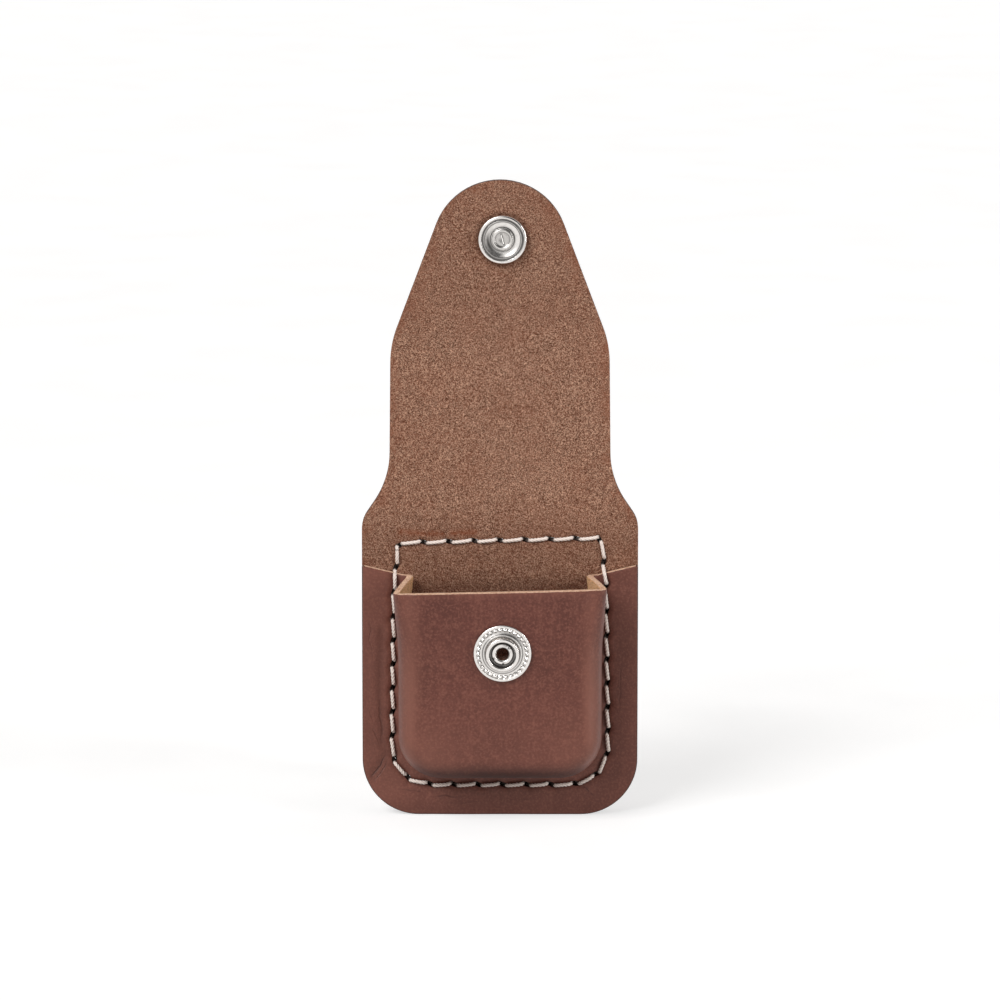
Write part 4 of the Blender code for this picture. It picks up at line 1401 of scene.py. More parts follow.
        # The painted shade deepens as the thread goes into the leather.
        start, full = self.shade_depths
        inside = ease(y - front, start, full) * ease(PLAN.patch_back - y, start, full)
        write_fields(cord, soil=inside, hollow=(1 - ease(reach, low, high)) * self.ply_shade)


class Slot(IntEnum):
    """The material slots of a leather piece."""

    FLESH = 0
    GRAIN = 1
    EDGE = 2
    STAIN = 3
    HOLE = 4


# The moulded pocket


@dataclass(frozen=True)
class Crease:
    """A crease or rubbed line in the leather: its path, width, depth and painted shade."""

    path: tuple[Pair, ...]
    width: float
    depth: float
    dark: float

    def at(self, x: Array, z: Array) -> Array:
        """Gives 1 along its path and falls off beside it."""
        return mound(distance_to(x, z, np.array(self.path)), self.width)


@dataclass(frozen=True)
class HighlightSpot:
    """A painted highlight: its middle, its reach to the side, its reach upward and its strength.
    """

    x: float
    z: float
    aside: float
    upward: float
    strength: float

    def at(self, x: Array, z: Array) -> Array:
        """Says how strong the painted highlight is at each place."""
        return self.strength * mound(np.hypot((x - self.x) / self.aside,
                                              (z - self.z) / self.upward), 1)


@dataclass
class Pocket:
    """The moulded box pocket with its sewn flange."""

    mouth: float = 48.45 * MM
    flange_outer_top: float = 51.2 * MM
    flange_inner_top: float = 49.2 * MM
    base_width: float = 36.8 * MM
    front_width: float = 37.4 * MM
    mouth_pinch: float = 1.0 * MM
    mouth_flare: float = 1.3 * MM
    mouth_thin_share: float = 0.24
    mouth_thin_height: float = 7.0 * MM
    mouth_thin_side: Pair = (2.0 * MM, 0.6 * MM)
    mouth_inset: float = 0.5 * MM
    lip_slope: float = 0.022
    floor_back: float = 10.0 * MM
    floor_front: float = 11.0 * MM
    depth_low: float = 13.0 * MM
    tilt: float = math.radians(2.6)
    corner_radius: float = 7.0 * MM
    root_radius: float = 2.2 * MM
    side_edge_radius: float = 2.3 * MM
    foot_edge_radius: float = 3.6 * MM
    crown: float = 0.35 * MM
    crown_share: float = 0.3
    gusset_length: float = 16.0 * MM
    wall_bow: float = 0.75
    side_steps: int = 60
    corner_steps: int = 24
    floor_steps: int = 44
    flange_steps: int = 20
    root_steps: int = 6
    wall_steps: int = 20
    edge_steps: int = 8
    outer_round: float = 0.36 * MM
    mouth_round: float = 0.2 * MM
    creases: tuple[Crease, ...] = (
        Crease(((-23.9 * MM, 38.0 * MM), (-24.3 * MM, 27.5 * MM), (-23.9 * MM, 14.0 * MM)),
               0.8 * MM, 0.1 * MM, 0.3),
        Crease(((-22.9 * MM, 13.0 * MM), (-24.4 * MM, 10.4 * MM), (-26.0 * MM, 7.6 * MM)),
               0.8 * MM, 0.16 * MM, 0.3),
    )
    # Painted highlights on the lower face, at its left and its right.
    cheek_highlights: tuple[HighlightSpot, ...] = (HighlightSpot(-15.5 * MM, 15 * MM, 6 * MM, 8 * MM, 1.0),
                               HighlightSpot(16 * MM, 18 * MM, 6 * MM, 14 * MM, 0.7))
    flange_swell: Ripple = Ripple(0.09 * MM, 13 * MM, 1.0)
    face_swells: tuple[Ripple, ...] = (Ripple(0.16 * MM, 19 * MM, 2.2),
                                       Ripple(0.05 * MM, 7 * MM, 0.4))
    stud_clear: float = 8.0 * MM
    flange_skin: Pair = (0.6 * MM, 0.05 * MM)
    rim_reach: float = 0.5 * MM
    # Strength and width of the painted shade along the seam and at its slits.
    seam_dark: Pair = (0.4, 0.8 * MM)
    slit_dark: Pair = (0.62, 0.6 * MM)
    smooth_below: float = math.radians(35)

    def flange_top(self, x: float | Array) -> float | Array:
        """Gives the height of the flange's top edge.

        Args:
            x: How far to the side the place lies.

        Returns:
            The height.
        """
        inner = self.base_width / 2 - self.mouth_inset + self.root_radius
        share = (abs(x) - inner) / (PLAN.width / 2 - inner)
        return self.flange_inner_top + (self.flange_outer_top - self.flange_inner_top) * share

    def front_level(self, spot: Array) -> float:
        """Gives the front side that a stitch lies on at a place."""
        return PLAN.flange_grain if spot[1] < self.flange_top(spot[0]) else 0.0

    def depth(self, height: float | Array) -> float | Array:
        """Gives the depth of the pocket's inner front side at a height."""
        return self.depth_low + (height - self.floor_front) * math.tan(self.tilt)

    def stud_seat(self) -> Vector:
        """Gives the stud's seat on the pocket's grain side."""
        out = self.depth(PLAN.stud_height) + PLAN.pocket / math.cos(self.tilt) + self.crown
        return Vector((PLAN.snap_aside, -out, PLAN.stud_height))

    def stations(self) -> tuple[Array, Array, Array, Array]:
        """Lists the places round the pocket, from its mouth at the left to that at the right.

        Returns:
            The side of each as -1 to 1, how far it lies down the upright run, the angle in
            the corner, and the share of the floor.
        """
        runs = np.linspace(0, 1, self.side_steps, endpoint=False)
        angles = np.linspace(0, math.pi / 2, self.corner_steps + 1)
        floors = np.linspace(-1, 1, self.floor_steps + 1)[1:-1]
        ones = np.ones(len(angles))
        run = np.concatenate([runs, ones, np.ones(len(floors)), ones, runs[::-1]])
        angle = np.concatenate([np.zeros(len(runs)), angles, np.full(len(floors), math.pi / 2),
                                angles[::-1], np.zeros(len(runs))])
        corner = len(runs) + len(angles)
        side = np.concatenate([-np.ones(corner), np.ones(len(floors)), np.ones(corner)])
        floor = np.concatenate([np.ones(corner), floors, np.ones(corner)])
        return side, run, angle, floor

    def outline(self, width: float, floor: float, radius: float, top: float) -> Array:
        """Gives the points of a U round the pocket.

        Args:
            width: Its width.
            floor: The height of its floor.
            radius: The radius of its corners.
            top: The height of its open ends.

        Returns:
            The points in X and Z, one for each station.
        """
        side, run, angle, share = self.stations()
        x = (width / 2 - radius) * share + radius * np.cos(angle)
        z = floor + radius - radius * np.sin(angle)
        on_side = run < 1
        x = np.where(on_side, width / 2, x)
        z = np.where(on_side, top + (floor + radius - top) * run, z)
        return np.stack([side * x, z], axis=1)

    def edge(self) -> Array:
        """Gives the outer edge of the flange."""
        return self.outline(PLAN.width, 0, PLAN.foot_radius, self.flange_outer_top)

    def rings(self) -> Array:
        """Lays out the pocket's inner side, from the flange to the face.

        Returns:
            The points, as rings from the outside in.
        """
        side, run, angle, _ = self.stations()
        edge = self.edge()
        foot = self.outline(self.base_width, self.floor_back, self.corner_radius,
                            self.flange_inner_top)
        front = self.outline(self.front_width, self.floor_front, self.corner_radius, self.mouth)
        rise = np.clip(1 - (self.mouth - foot[:, 1]) / self.gusset_length, 0, 1)
        rise = np.where(run < 1, rise, 0)
        foot[:, 0] -= side * self.mouth_pinch * rise ** 2
        front[:, 0] += side * self.mouth_flare * rise ** 2
        front[:, 1] += self.lip_slope * front[:, 0] * rise ** 2
        outward = np.stack([side * np.cos(angle), -np.sin(angle)], axis=1)
        edge_radius = self.side_edge_radius * (1 - 0.8 * rise ** 2) + np.sin(angle) * (
            self.foot_edge_radius - self.side_edge_radius)
        flesh = PLAN.flange_flesh
        made = []
        start = foot + outward * self.root_radius
        start[run == 0, 1] = self.flange_inner_top
        for share in np.linspace(0, 1, self.flange_steps, endpoint=False):
            spot = edge + (start - edge) * share
            made.append((spot, np.full(len(spot), flesh)))
        for turn in np.linspace(0, math.pi / 2, self.root_steps, endpoint=False):
            spot = foot + outward * self.root_radius * (1 - math.sin(turn))
            made.append((spot, np.full(len(spot), flesh - self.root_radius
                                       * (1 - math.cos(turn)))))
        depth = self.depth(front[:, 1])
        root = -flesh + self.root_radius
        for share in np.linspace(0, 1, self.wall_steps, endpoint=False):
            bow = share / (share + self.wall_bow * (1 - share))
            spot = foot + (front - foot) * bow
            made.append((spot, -root - (depth - edge_radius - root) * share))
        for turn in np.linspace(0, math.pi / 2, self.edge_steps + 1):
            spot = front - outward * (edge_radius * (1 - math.cos(turn)))[:, None]
            made.append((spot, -depth + edge_radius * (1 - math.sin(turn))))
        return np.array([np.stack([spot[:, 0], y, spot[:, 1]], axis=1) for spot, y in made])

    def face(self, rim: Array) -> Array:
        """Fills the pocket's front face, with a slight crown.

        Args:
            rim: The last ring of the pocket's sides.

        Returns:
            The points of the face, as rows.
        """
        first = self.side_steps + self.corner_steps // 2
        left, right = rim[:first + 1][::-1], rim[-first - 1:]
        bottom = rim[first:len(rim) - first]
        share = np.linspace(0, 1, len(bottom))[:, None]
        top = rim[0] + (rim[-1] - rim[0]) * share
        made = patch_between(bottom, top, left, right)
        across = np.linspace(0, 1, made.shape[1])[None, :]
        upward = np.linspace(0, 1, made.shape[0])[:, None]
        made[:, :, 1] -= self.crown * np.sin(math.pi * across) * ease(upward, 0, self.crown_share)
        return made

    def build(self, stitching: Stitching, awl: Piece) -> Piece:
        """Makes the pocket.

        Args:
            stitching: The seam, which pulls the flange in.
            awl: The tool that cuts the seam's slits.

        Returns:
            The pocket.
        """
        rings = self.rings()
        shell = join([add_grid("pocket", rings), add_grid("pocket_face", self.face(rings[-1]))])
        thin = shell.vertex_groups.new(name="thickness")
        places = places_of(shell)
        near_top = ease(places[:, 2], self.mouth - self.mouth_thin_height, self.mouth)
        at_side = ease(np.abs(places[:, 0]), *(self.front_width / 2 - inset
                                               for inset in self.mouth_thin_side))
        for index, weight in enumerate(1 - self.mouth_thin_share * near_top * at_side):
            thin.add([index], float(weight), "REPLACE")
        shell.vertex_groups.new(name="inside")
        for _ in Slot:
            shell.data.materials.append(None)
        set_slots(shell, Slot.GRAIN)
        apply_modifier(shell, "SOLIDIFY", thickness=PLAN.pocket, offset=1,
                       use_even_offset=True, vertex_group="thickness",
                       shell_vertex_group="inside", material_offset=Slot.FLESH - Slot.GRAIN,
                       material_offset_rim=Slot.EDGE - Slot.GRAIN)
        self.sink(shell, stitching)
        # The outer edges are burnished, those of the mouth stay crisp.
        round_sharp_edges(shell, self.outer_round, 3, self.is_outer)
        round_sharp_edges(shell, self.mouth_round, 2, lambda middles: ~self.is_outer(middles))
        punch = add_rod("punch", PLAN.snap_hole_radius, PLAN.punch_ends, self.stud_seat(),
                        math.pi / 2 + self.tilt)
        set_slots(punch, Slot.EDGE)
        carve(shell, awl, punch)
        remove(punch)
        self.mark(shell, stitching)
        into_frame(shell)
        shade(shell, self.smooth_below)
        return shell

    def sink(self, shell: Piece, stitching: Stitching) -> None:
        """Presses the seam and the creases into the grain side, and makes the face uneven.

        Args:
            shell: The pocket.
            stitching: The seam.
        """
        group = shell.vertex_groups["inside"].index
        outside = np.array([all(g.group != group or g.weight < 0.5 for g in vertex.groups)
                            for vertex in shell.data.vertices])
        x, y, z = places_of(shell).T
        behind, level = (PLAN.flange_grain - skin for skin in self.flange_skin)
        on_flange = ease(y, behind, level)
        dent = stitching.dent(x, z, False)
        for crease in self.creases:
            dent = dent + crease.depth * crease.at(x, z)
        dent = dent + self.flange_swell.rise(x, z)
        y = np.where(outside & (y > behind), y + dent * on_flange, y)
        on_face = outside * ease(-y, self.depth_low - 1 * MM, self.depth_low + 0.8 * MM)
        clear = 1 - mound(np.hypot(x, z - PLAN.stud_height), self.stud_clear)
        y = y + sum(swell.rise(x, z) for swell in self.face_swells) * clear * on_face
        set_places(shell, np.stack([x, y, z], axis=1))

    def is_outer(self, places: Array) -> Array:
        """Says which places lie on the flange's outer outline."""
        near = distance_to(places[:, 0], places[:, 2], self.edge()) < self.rim_reach
        return near & (places[:, 1] > PLAN.flange_grain - self.rim_reach)

    def mark(self, shell: Piece, stitching: Stitching) -> None:
        """Sorts the stained outer edge from the raw mouth, and stores wear, painted light and
        painted shade.

        Args:
            shell: The pocket.
            stitching: The seam.
        """
        faces = shell.data.polygons
        slots = read(faces, "material_index", kind=np.int32)
        slots[(slots == Slot.EDGE) & self.is_outer(read(faces, "center", 3))] = Slot.STAIN
        set_slots(shell, slots)
        x, y, z = places_of(shell).T
        on_flange = y > PLAN.flange_grain - 1.2 * MM
        # The flange is painted lighter than the face, and lighter still at the left, as painted
        # light.
        write_fields(shell, folds=on_flange.astype(float),
                     crease=np.maximum(self.dark_flange(x, z, stitching) * on_flange,
                                       self.dark_roll(x, y, z)),
                     worn=np.maximum(self.face_wear_and_highlight(x, y, z), on_flange * (
                         0.25 + 0.26 * ease(-x, 14 * MM, 22 * MM))))

    def dark_flange(self, x: Array, z: Array, stitching: Stitching) -> Array:
        """Gives the painted shade of creases, stitches, the low rim and the right side of the
        flange.

        Args:
            x: The places in X.
            z: Their heights.
            stitching: The seam.

        Returns:
            The darkness at each place.
        """
        # Painted shadow along the low rim and on the right flange, below and beside the pocket.
        low_rim = fade(z, 0.5 * MM, 4.5 * MM) + 0.4 * ease(x, 19 * MM, 24 * MM)
        return np.max([
            0.3 * np.clip(low_rim, 0, 1),
            stitching.shadow(x, z, False, self.seam_dark, self.slit_dark),
            *(crease.dark * crease.at(x, z) for crease in self.creases)], axis=0)

    def dark_roll(self, x: Array, y: Array, z: Array) -> Array:
        """Gives the painted shade on the roll under the pocket's foot.

        Args:
            x: The places in X.
            y: Their places from the front to the back.
            z: Their heights.

        Returns:
            The darkness at each place.
        """
        low = fade(z, self.floor_front - 1.2 * MM, self.floor_front + 2.6 * MM)
        in_front = ease(-y, -PLAN.flange_grain + 0.3 * MM, 3.5 * MM)
        return low * in_front * (0.55 + 0.42 * mound(x - 1 * MM, 13 * MM))

    def face_wear_and_highlight(self, x: Array, y: Array, z: Array) -> Array:
        """Gives the lip's wear, and painted highlights on the pocket's upright edges and lower
        face.

        Args:
            x: The places in X.
            y: Their places from the front to the back.
            z: Their heights.

        Returns:
            The wear and painted highlight at each place.
        """
        lip = 0.3 * mound(z - self.mouth, 1.0 * MM) * (y < -self.depth_low)
        # Painted highlights along the upright edges.
        corner = mound(np.abs(x) - self.front_width / 2 + 0.5 * MM, 1.9 * MM) * (
            y < -self.depth_low + 3 * MM) * (0.45 + 0.5 * fade(z, 28 * MM, 42 * MM))
        # Painted light on the lower face, brightest on the cheeks.
        low = fade(z, 12 * MM, 34 * MM) * ease(-y, self.depth_low, 1.05 * self.depth_low)
        lower_light = 0.24 + 0.4 * sum(cheek.at(x, z) for cheek in self.cheek_highlights)
        return np.max([lip, corner, lower_light * low], axis=0)


# The back panel, its flap and the backing patch


@dataclass
class Panel:
    """The leather strip that is the pouch's back and its flap."""

    shoulder: float = 60.2 * MM
    shoulder_radius: float = 6.0 * MM
    neck_width: float = 44.4 * MM
    neck: float = 68.4 * MM
    neck_radius: float = 18.0 * MM
    taper_width: float = 43.8 * MM
    taper: float = 95.7 * MM
    taper_radius: float = 20.0 * MM
    top: float = 128.7 * MM
    tip_radius: float = 13.6 * MM
    cell: float = 0.52 * MM
    fold_zone: float = 12.0 * MM
    pocket_half: float = 18.0 * MM
    swells: tuple[Ripple, ...] = (Ripple(0.16 * MM, 31 * MM, 0.7),
                                  Ripple(0.05 * MM, 9 * MM, 3.1))
    socket_clear: float = 9.0 * MM
    halo_radius: float = 5.0 * MM
    side_points: int = 1600
    gap_points: int = 240
    flesh_dent: float = 0.8
    # Strength and width of the painted shade at the slits and the painted shadow round the
    # socket.
    slit_dark: Pair = (0.66, 0.58 * MM)
    halo_dark: Pair = (0.5, 0.45 * MM)
    pressed_line: tuple[Pair, ...] = (
        (-20.0 * MM, 57.7 * MM), (-14.0 * MM, 57.4 * MM), (-5.0 * MM, 57.6 * MM))

    def side(self) -> Array:
        """Outlines the right side, from the middle of the foot to the tip.

        Returns:
            The points in X and Z.
        """
        neck, taper = self.neck_width / 2, self.taper_width / 2
        drop = self.top - self.tip_radius - self.taper
        lean = math.atan2(taper, drop) - math.asin(self.tip_radius / math.hypot(taper, drop))
        apex = self.taper + taper / math.tan(lean)
        half = PLAN.width / 2
        corners = [(0, 0, 0), (half, 0, PLAN.foot_radius),
                   (half, self.shoulder, self.shoulder_radius),
                   (neck, self.neck, self.neck_radius), (taper, self.taper, self.taper_radius),
                   (0, apex, self.tip_radius), (-taper, self.taper, self.taper_radius)]
        points = rounded(corners, PLAN.corner_steps, closed=False)
        kept = points[points[:, 0] >= -WELD]
        return np.vstack([kept[kept[:, 1] < self.top - WELD], [[0, self.top]]])

    def part(self, low: float, high: float) -> Array:
        """Fills the strip between two heights, each of them a cut or an end of the strip.

        Args:
            low: The height at which the part starts.
            high: The height at which it ends.

        Returns:
            The points in X and Z, as rows.
        """
        side = resample(self.side(), self.side_points)
        lengths, heights = along(side), side[:, 1]
        foot_arc = math.pi / 4 * PLAN.foot_radius
        start = int(np.searchsorted(heights, low) if low > 0 else np.searchsorted(
            lengths, PLAN.width / 2 - PLAN.foot_radius + foot_arc))
        stop = int(np.searchsorted(heights, high) if high < self.top else np.searchsorted(
            lengths, lengths[-1] - self.tip_radius * 0.75))
        run = side[start:stop + 1].copy()
        for end, cut in ((0, low), (-1, high)):
            if 0 < cut < self.top:
                run[end] = (np.interp(cut, heights, side[:, 0]), cut)
        return fill_half(None if low > 0 else side[:start + 1], run,
                         None if high < self.top else side[stop:], self.cell)

    def front(self, x: Array, z: Array, stitching: Stitching) -> Array:
        """Gives how far the flesh side lies behind its plane.

        Args:
            x: The places in X.
            z: Their heights.
            stitching: The seam, which pulls the leather in.

        Returns:
            The depth at each place.
        """
        free = ease(z, self.shoulder - 2 * MM, self.shoulder + 12 * MM)
        clear = 1 - mound(np.hypot(x, z - PLAN.socket_height), self.socket_clear)
        swell = sum(swell.rise(x, z) for swell in self.swells)
        return stitching.dent(x, z, False) * self.flesh_dent + swell * free * clear

    def build(self, name: str, low: float, high: float, stitching: Stitching,
              tools: Sequence[Piece]) -> Piece:
        """Makes one part of the strip.

        Args:
            name: The piece's name.
            low: The height at which it starts.
            high: The height at which it ends.
            stitching: The seam, which pulls the leather in.
            tools: What cuts holes in it.

        Returns:
            The part.
        """
        cuts = [height for height in (low, high) if 0 < height < self.top]

        def on_outline(middles: Array) -> Array:
            """Says which places lie off the cuts."""
            return np.all([abs(middles[:, 2] - cut) > WELD for cut in cuts], axis=0)

        def dent(x: Array, z: Array) -> Array:
            """Gives how far the flesh side lies behind its plane."""
            return self.front(x, z, stitching)

        thing = slab(name, self.part(low, high), (0.0, PLAN.panel), on_outline, dent,
                     lambda x, z: dent(x, z) * (z > self.shoulder))
        carve(thing, *tools)
        self.mark(thing, stitching)
        into_frame(thing)
        shade(thing)
        return thing

    def mark(self, thing: Piece, stitching: Stitching) -> None:
        """Stores the leather's stains and wear, and its painted shade and painted shadow.

        Args:
            thing: The part of the strip.
            stitching: The seam.
        """
        x, y, z = places_of(thing).T
        gap = distance_to(np.abs(x), z, resample(self.side(), self.gap_points))
        pressed = distance_to(x, z, np.array(self.pressed_line))
        # Painted shade inside the pocket, and towards the seam below and the flap's top.
        inside = ease(self.pocket_half - np.abs(x), 0, 1.5 * MM) * (
            0.28 * fade(z, 46 * MM, 50 * MM) + 0.35 * fade(z, 34 * MM, 44 * MM))
        low = 0.23 * fade(z, 54 * MM, 64 * MM) + 0.1 * ease(z, 88 * MM, 108 * MM)
        # Painted shade at the slits, and a painted shadow round the socket.
        (slit, slit_width), (ring, ring_width) = self.slit_dark, self.halo_dark
        holes = slit * mound(distance_to(x, z, *stitching.slit_ends()), slit_width)
        halo = ring * mound(np.hypot(x - PLAN.snap_aside, z - PLAN.socket_height)
                            - self.halo_radius, ring_width)
        write_fields(thing, edge_near=mound(gap, 2.1 * MM), worn=0.5 * mound(gap, 0.8 * MM),
                     pressed=mound(pressed, 0.55 * MM) * (y < 0.5 * PLAN.panel),
                     soil=np.max([holes, low + inside, halo + low], axis=0))


def fill_half(foot: Array | None, run: Array, crest: Array | None, cell: float) -> Array:
    """Fills a sheet of the pouch's width whose left half mirrors the right one.

    Args:
        foot: Its foot, from the middle outward, or nothing where it is cut straight.
        run: Its right side, upward.
        crest: Its top, inward to the middle, or nothing where it is cut straight.
        cell: About how far apart its points lie.

    Returns:
        The points in X and Z, as rows.
    """
    right = resample(run, int(along(run)[-1] / cell))
    left = right * (-1, 1)
    bottom, top = np.array([left[0], right[0]]), np.array([left[-1], right[-1]])
    if foot is not None:
        bottom = np.vstack([(foot * (-1, 1))[::-1], foot[1:]])
    if crest is not None:
        top = np.vstack([crest * (-1, 1), crest[::-1][1:]])
    columns = int(PLAN.width / cell)
    return patch_between(resample(bottom, columns), resample(top, columns), left, right)


def slab(name: str, flat: Array, layer: Pair, rounded_at: Choice | None,
         front_dent: Field, back_dent: Field) -> Piece:
    """Makes a sheet of leather of even thickness with rounded edges.

    Args:
        name: The piece's name.
        flat: Its points in X and Z, as rows.
        layer: Where its front side lies, and its thickness.
        rounded_at: Says from the middles of edges which of them to round; all if left out.
        front_dent: How far the front side lies behind its plane.
        back_dent: How far the back side lies behind its plane.

    Returns:
        The sheet, with flesh in front, grain behind and a stained edge.
    """
    front, thickness = layer
    thing = add_grid(name, np.insert(flat, 1, front, axis=2))
    for _ in Slot:
        thing.data.materials.append(None)
    apply_modifier(thing, "SOLIDIFY", thickness=thickness, offset=-1)
    round_sharp_edges(thing, PLAN.edge_round, 3, rounded_at)
    x, y, z = places_of(thing).T
    share = (y - front) / thickness
    y = y + front_dent(x, z) * (1 - share) + back_dent(x, z) * share
    facing = read(thing.data.polygons, "normal", 3)[:, 1]
    set_places(thing, np.stack([x, y, z], axis=1))
    set_slots(thing, np.where(facing < -0.8, Slot.FLESH,
                              np.where(facing > 0.8, Slot.GRAIN, Slot.STAIN)))
    return thing


@dataclass
class BackingPatch:
    """The second layer of leather behind the pouch, which holds the clip."""

    top: float = 59.4 * MM
    top_radius: float = 4.0 * MM
    cell: float = 0.55 * MM
    side_points: int = 1200
    # Strength and width of the painted shade along the seam and at its slits.
    seam_dark: Pair = (0.3, 0.8 * MM)
    slit_dark: Pair = (0.8, 0.8 * MM)
    wear: Ripple = Ripple(1.0, 24 * MM, 5.0)

    def flat(self) -> Array:
        """Outlines and fills the patch.

        Returns:
            The points in X and Z, as rows.
        """
        half = PLAN.width / 2
        side = resample(rounded([(0, 0, 0), (half, 0, PLAN.foot_radius),
                                 (half, self.top, self.top_radius), (0, self.top, 0)],
                                PLAN.corner_steps, closed=False), self.side_points)
        lengths = along(side)
        foot = half - PLAN.foot_radius + math.pi / 4 * PLAN.foot_radius
        head = lengths[-1] - (half - self.top_radius + math.pi / 4 * self.top_radius)
        start, stop = (int(np.searchsorted(lengths, value)) for value in (foot, head))
        return fill_half(side[:start + 1], side[start:stop + 1], side[stop:], self.cell)

    def build(self, name: str, stitching: Stitching, tools: Sequence[Piece]) -> Piece:
        """Makes the patch and cuts its holes.

        Args:
            name: The piece's name.
            stitching: The seam, which pulls the leather in.
            tools: What cuts holes in it.

        Returns:
            The patch.
        """
        thing = slab(name, self.flat(), (PLAN.patch_front, PLAN.patch), None,
                     lambda x, z: np.zeros(len(x)), lambda x, z: -stitching.dent(x, z, True))
        carve(thing, *tools)
        x, _, z = places_of(thing).T
        # Random wear, and painted shade along the seam on the back.
        write_fields(thing, worn=0.2 + 0.3 * self.wear.rise(x, z) ** 2,
                     crease=stitching.shadow(x, z, True, self.seam_dark, self.slit_dark))
        into_frame(thing)
        shade(thing)
        return thing


# Metal parts


@dataclass(frozen=True)
class Mark:
    """A cut across a turned part: its middle, its angle, its half length and its half width."""

    x: float
    y: float
    angle: float
    half_length: float
    half_width: float

    def at(self, x: Array, y: Array) -> Array:
        """Gives 1 in the cut and falls off beside it.

        Args:
            x: The places in X.
            y: The places in Y.

        Returns:
            The depth of the cut at each place, as a share.
        """
        cos, sin = math.cos(self.angle), math.sin(self.angle)
        ahead = (x - self.x) * cos + (y - self.y) * sin
        aside = (y - self.y) * cos - (x - self.x) * sin
        return mound(aside, self.half_width) * (np.abs(ahead) < self.half_length)


@dataclass
class TurnedPart:
    """A metal part that is turned from a closed profile of (radius, height, rounding).

    A band of painted shade is a radius, a width and a strength. The inside of a bore has painted
    shade within a radius and below a height. An arc is a patch of painted shade, as the angle of
    its middle, how far it spreads, its radius, its half width and its strength.
    """

    name: str
    profile: Sequence[Triple]
    steps: int = 120
    arc_steps: int = 6
    smooth_below: float = math.radians(42)
    bands: Sequence[Triple] = ()
    pit_and_shade: Pair = (0.0, 0.0)
    pit_shade: float = 0.82
    marks: Sequence[Mark] = ()
    mark_depth: float = 0.12 * MM
    mark_shade: float = 0.9
    mark_reach: float = 0.9 * MM
    arcs: Sequence[tuple[float, float, float, float, float]] = ()

    def build(self, place: Vector, tilt: float) -> Piece:
        """Spins the profile and puts the part in its place.

        Args:
            place: The part's seat, in the pouch's own layout.
            tilt: How far its axis is turned from +Z about X.

        Returns:
            The part.
        """
        points = rounded(self.profile, self.arc_steps)
        thing = add(bpy.ops.mesh.primitive_circle_add, self.name, vertices=len(points))
        flat = places_of(thing)
        order = np.argsort(np.arctan2(-flat[:, 0], flat[:, 1]) % (2 * math.pi), kind="stable")
        places = np.zeros((len(points), 3))
        places[order] = np.insert(points, 1, 0, axis=1)
        set_places(thing, places)
        with editing(thing, Picking.VERTS):
            bpy.ops.mesh.select_all(action="SELECT")
            bpy.ops.mesh.spin(steps=self.steps, angle=2 * math.pi, center=(0, 0, 0),
                              axis=(0, 0, 1), use_auto_merge=True)
            bpy.ops.mesh.select_all(action="SELECT")
            bpy.ops.mesh.remove_doubles(threshold=WELD)
            bpy.ops.mesh.delete_loose()
            face_outward()
        self.shape(thing)
        turn_into_place(thing, place, tilt)
        into_frame(thing)
        shade(thing, self.smooth_below)
        return thing

    def shape(self, thing: Piece) -> None:
        """Cuts the marks, then stores the painted shade.

        Args:
            thing: The part, with its axis upright.
        """
        places = places_of(thing)
        x, y, height = places.T
        dull_and_shade = self.dull_and_shade(x, y, height)
        top = height > height.max() - self.mark_reach
        # Each cut is sunk and gets painted shade.
        for mark in self.marks:
            cut = mark.at(x, y) * top
            places[:, 2] -= self.mark_depth * cut
            dull_and_shade = np.maximum(dull_and_shade, self.mark_shade * cut)
        set_places(thing, places)
        write_fields(thing, hollow=dull_and_shade)

    def dull_and_shade(self, x: Array, y: Array, height: Array) -> Array:
        """Says how much painted shade the bands, the arcs and the bore lay on each place.

        Args:
            x: The places in X.
            y: The places in Y.
            height: Their heights.

        Returns:
            The painted shade at each place.
        """
        radius, angle = np.hypot(x, y), np.arctan2(y, x)
        dull_and_shade = np.zeros(len(x))
        for middle, width, strength in self.bands:
            dull_and_shade = np.maximum(dull_and_shade, strength * mound(radius - middle, width))
        dull_and_shade = np.where((radius < self.pit_and_shade[0]) & (height < self.pit_and_shade[1]), self.pit_shade, dull_and_shade)
        for middle, spread, arc_radius, half_width, strength in self.arcs:
            turn = (angle - middle + math.pi) % (2 * math.pi) - math.pi
            dull_and_shade = np.maximum(dull_and_shade, strength * mound(turn, spread) * mound(
                radius - arc_radius, half_width))
        return dull_and_shade


@dataclass
class BeadedRim(TurnedPart):
    """A turned part whose rim carries a ring of beads."""

    beads: int = 30
    bead_radius: float = 5.0 * MM
    bead_width: float = 0.27 * MM
    bead_rise: float = 0.2 * MM
    bead_floor: float = 0.0

    def shape(self, thing: Piece) -> None:
        """Raises the beads from the rim, then stores the painted shade, more between the beads.

        Args:
            thing: The part, with its axis upright.
        """
        places = places_of(thing)
        x, y, height = places.T
        wave = (1 + np.cos(self.beads * np.arctan2(y, x))) / 2
        near = mound(np.hypot(x, y) - self.bead_radius, self.bead_width) * (
            height > self.bead_floor)
        # Painted shade between the beads.
        dull_and_shade = np.maximum(self.dull_and_shade(x, y, height), near * (1 - wave) ** 2 * 0.9)
        places[:, 2] += self.bead_rise * near * (wave ** 1.5 * 1.3 - 0.15)
        set_places(thing, places)
        write_fields(thing, hollow=dull_and_shade)


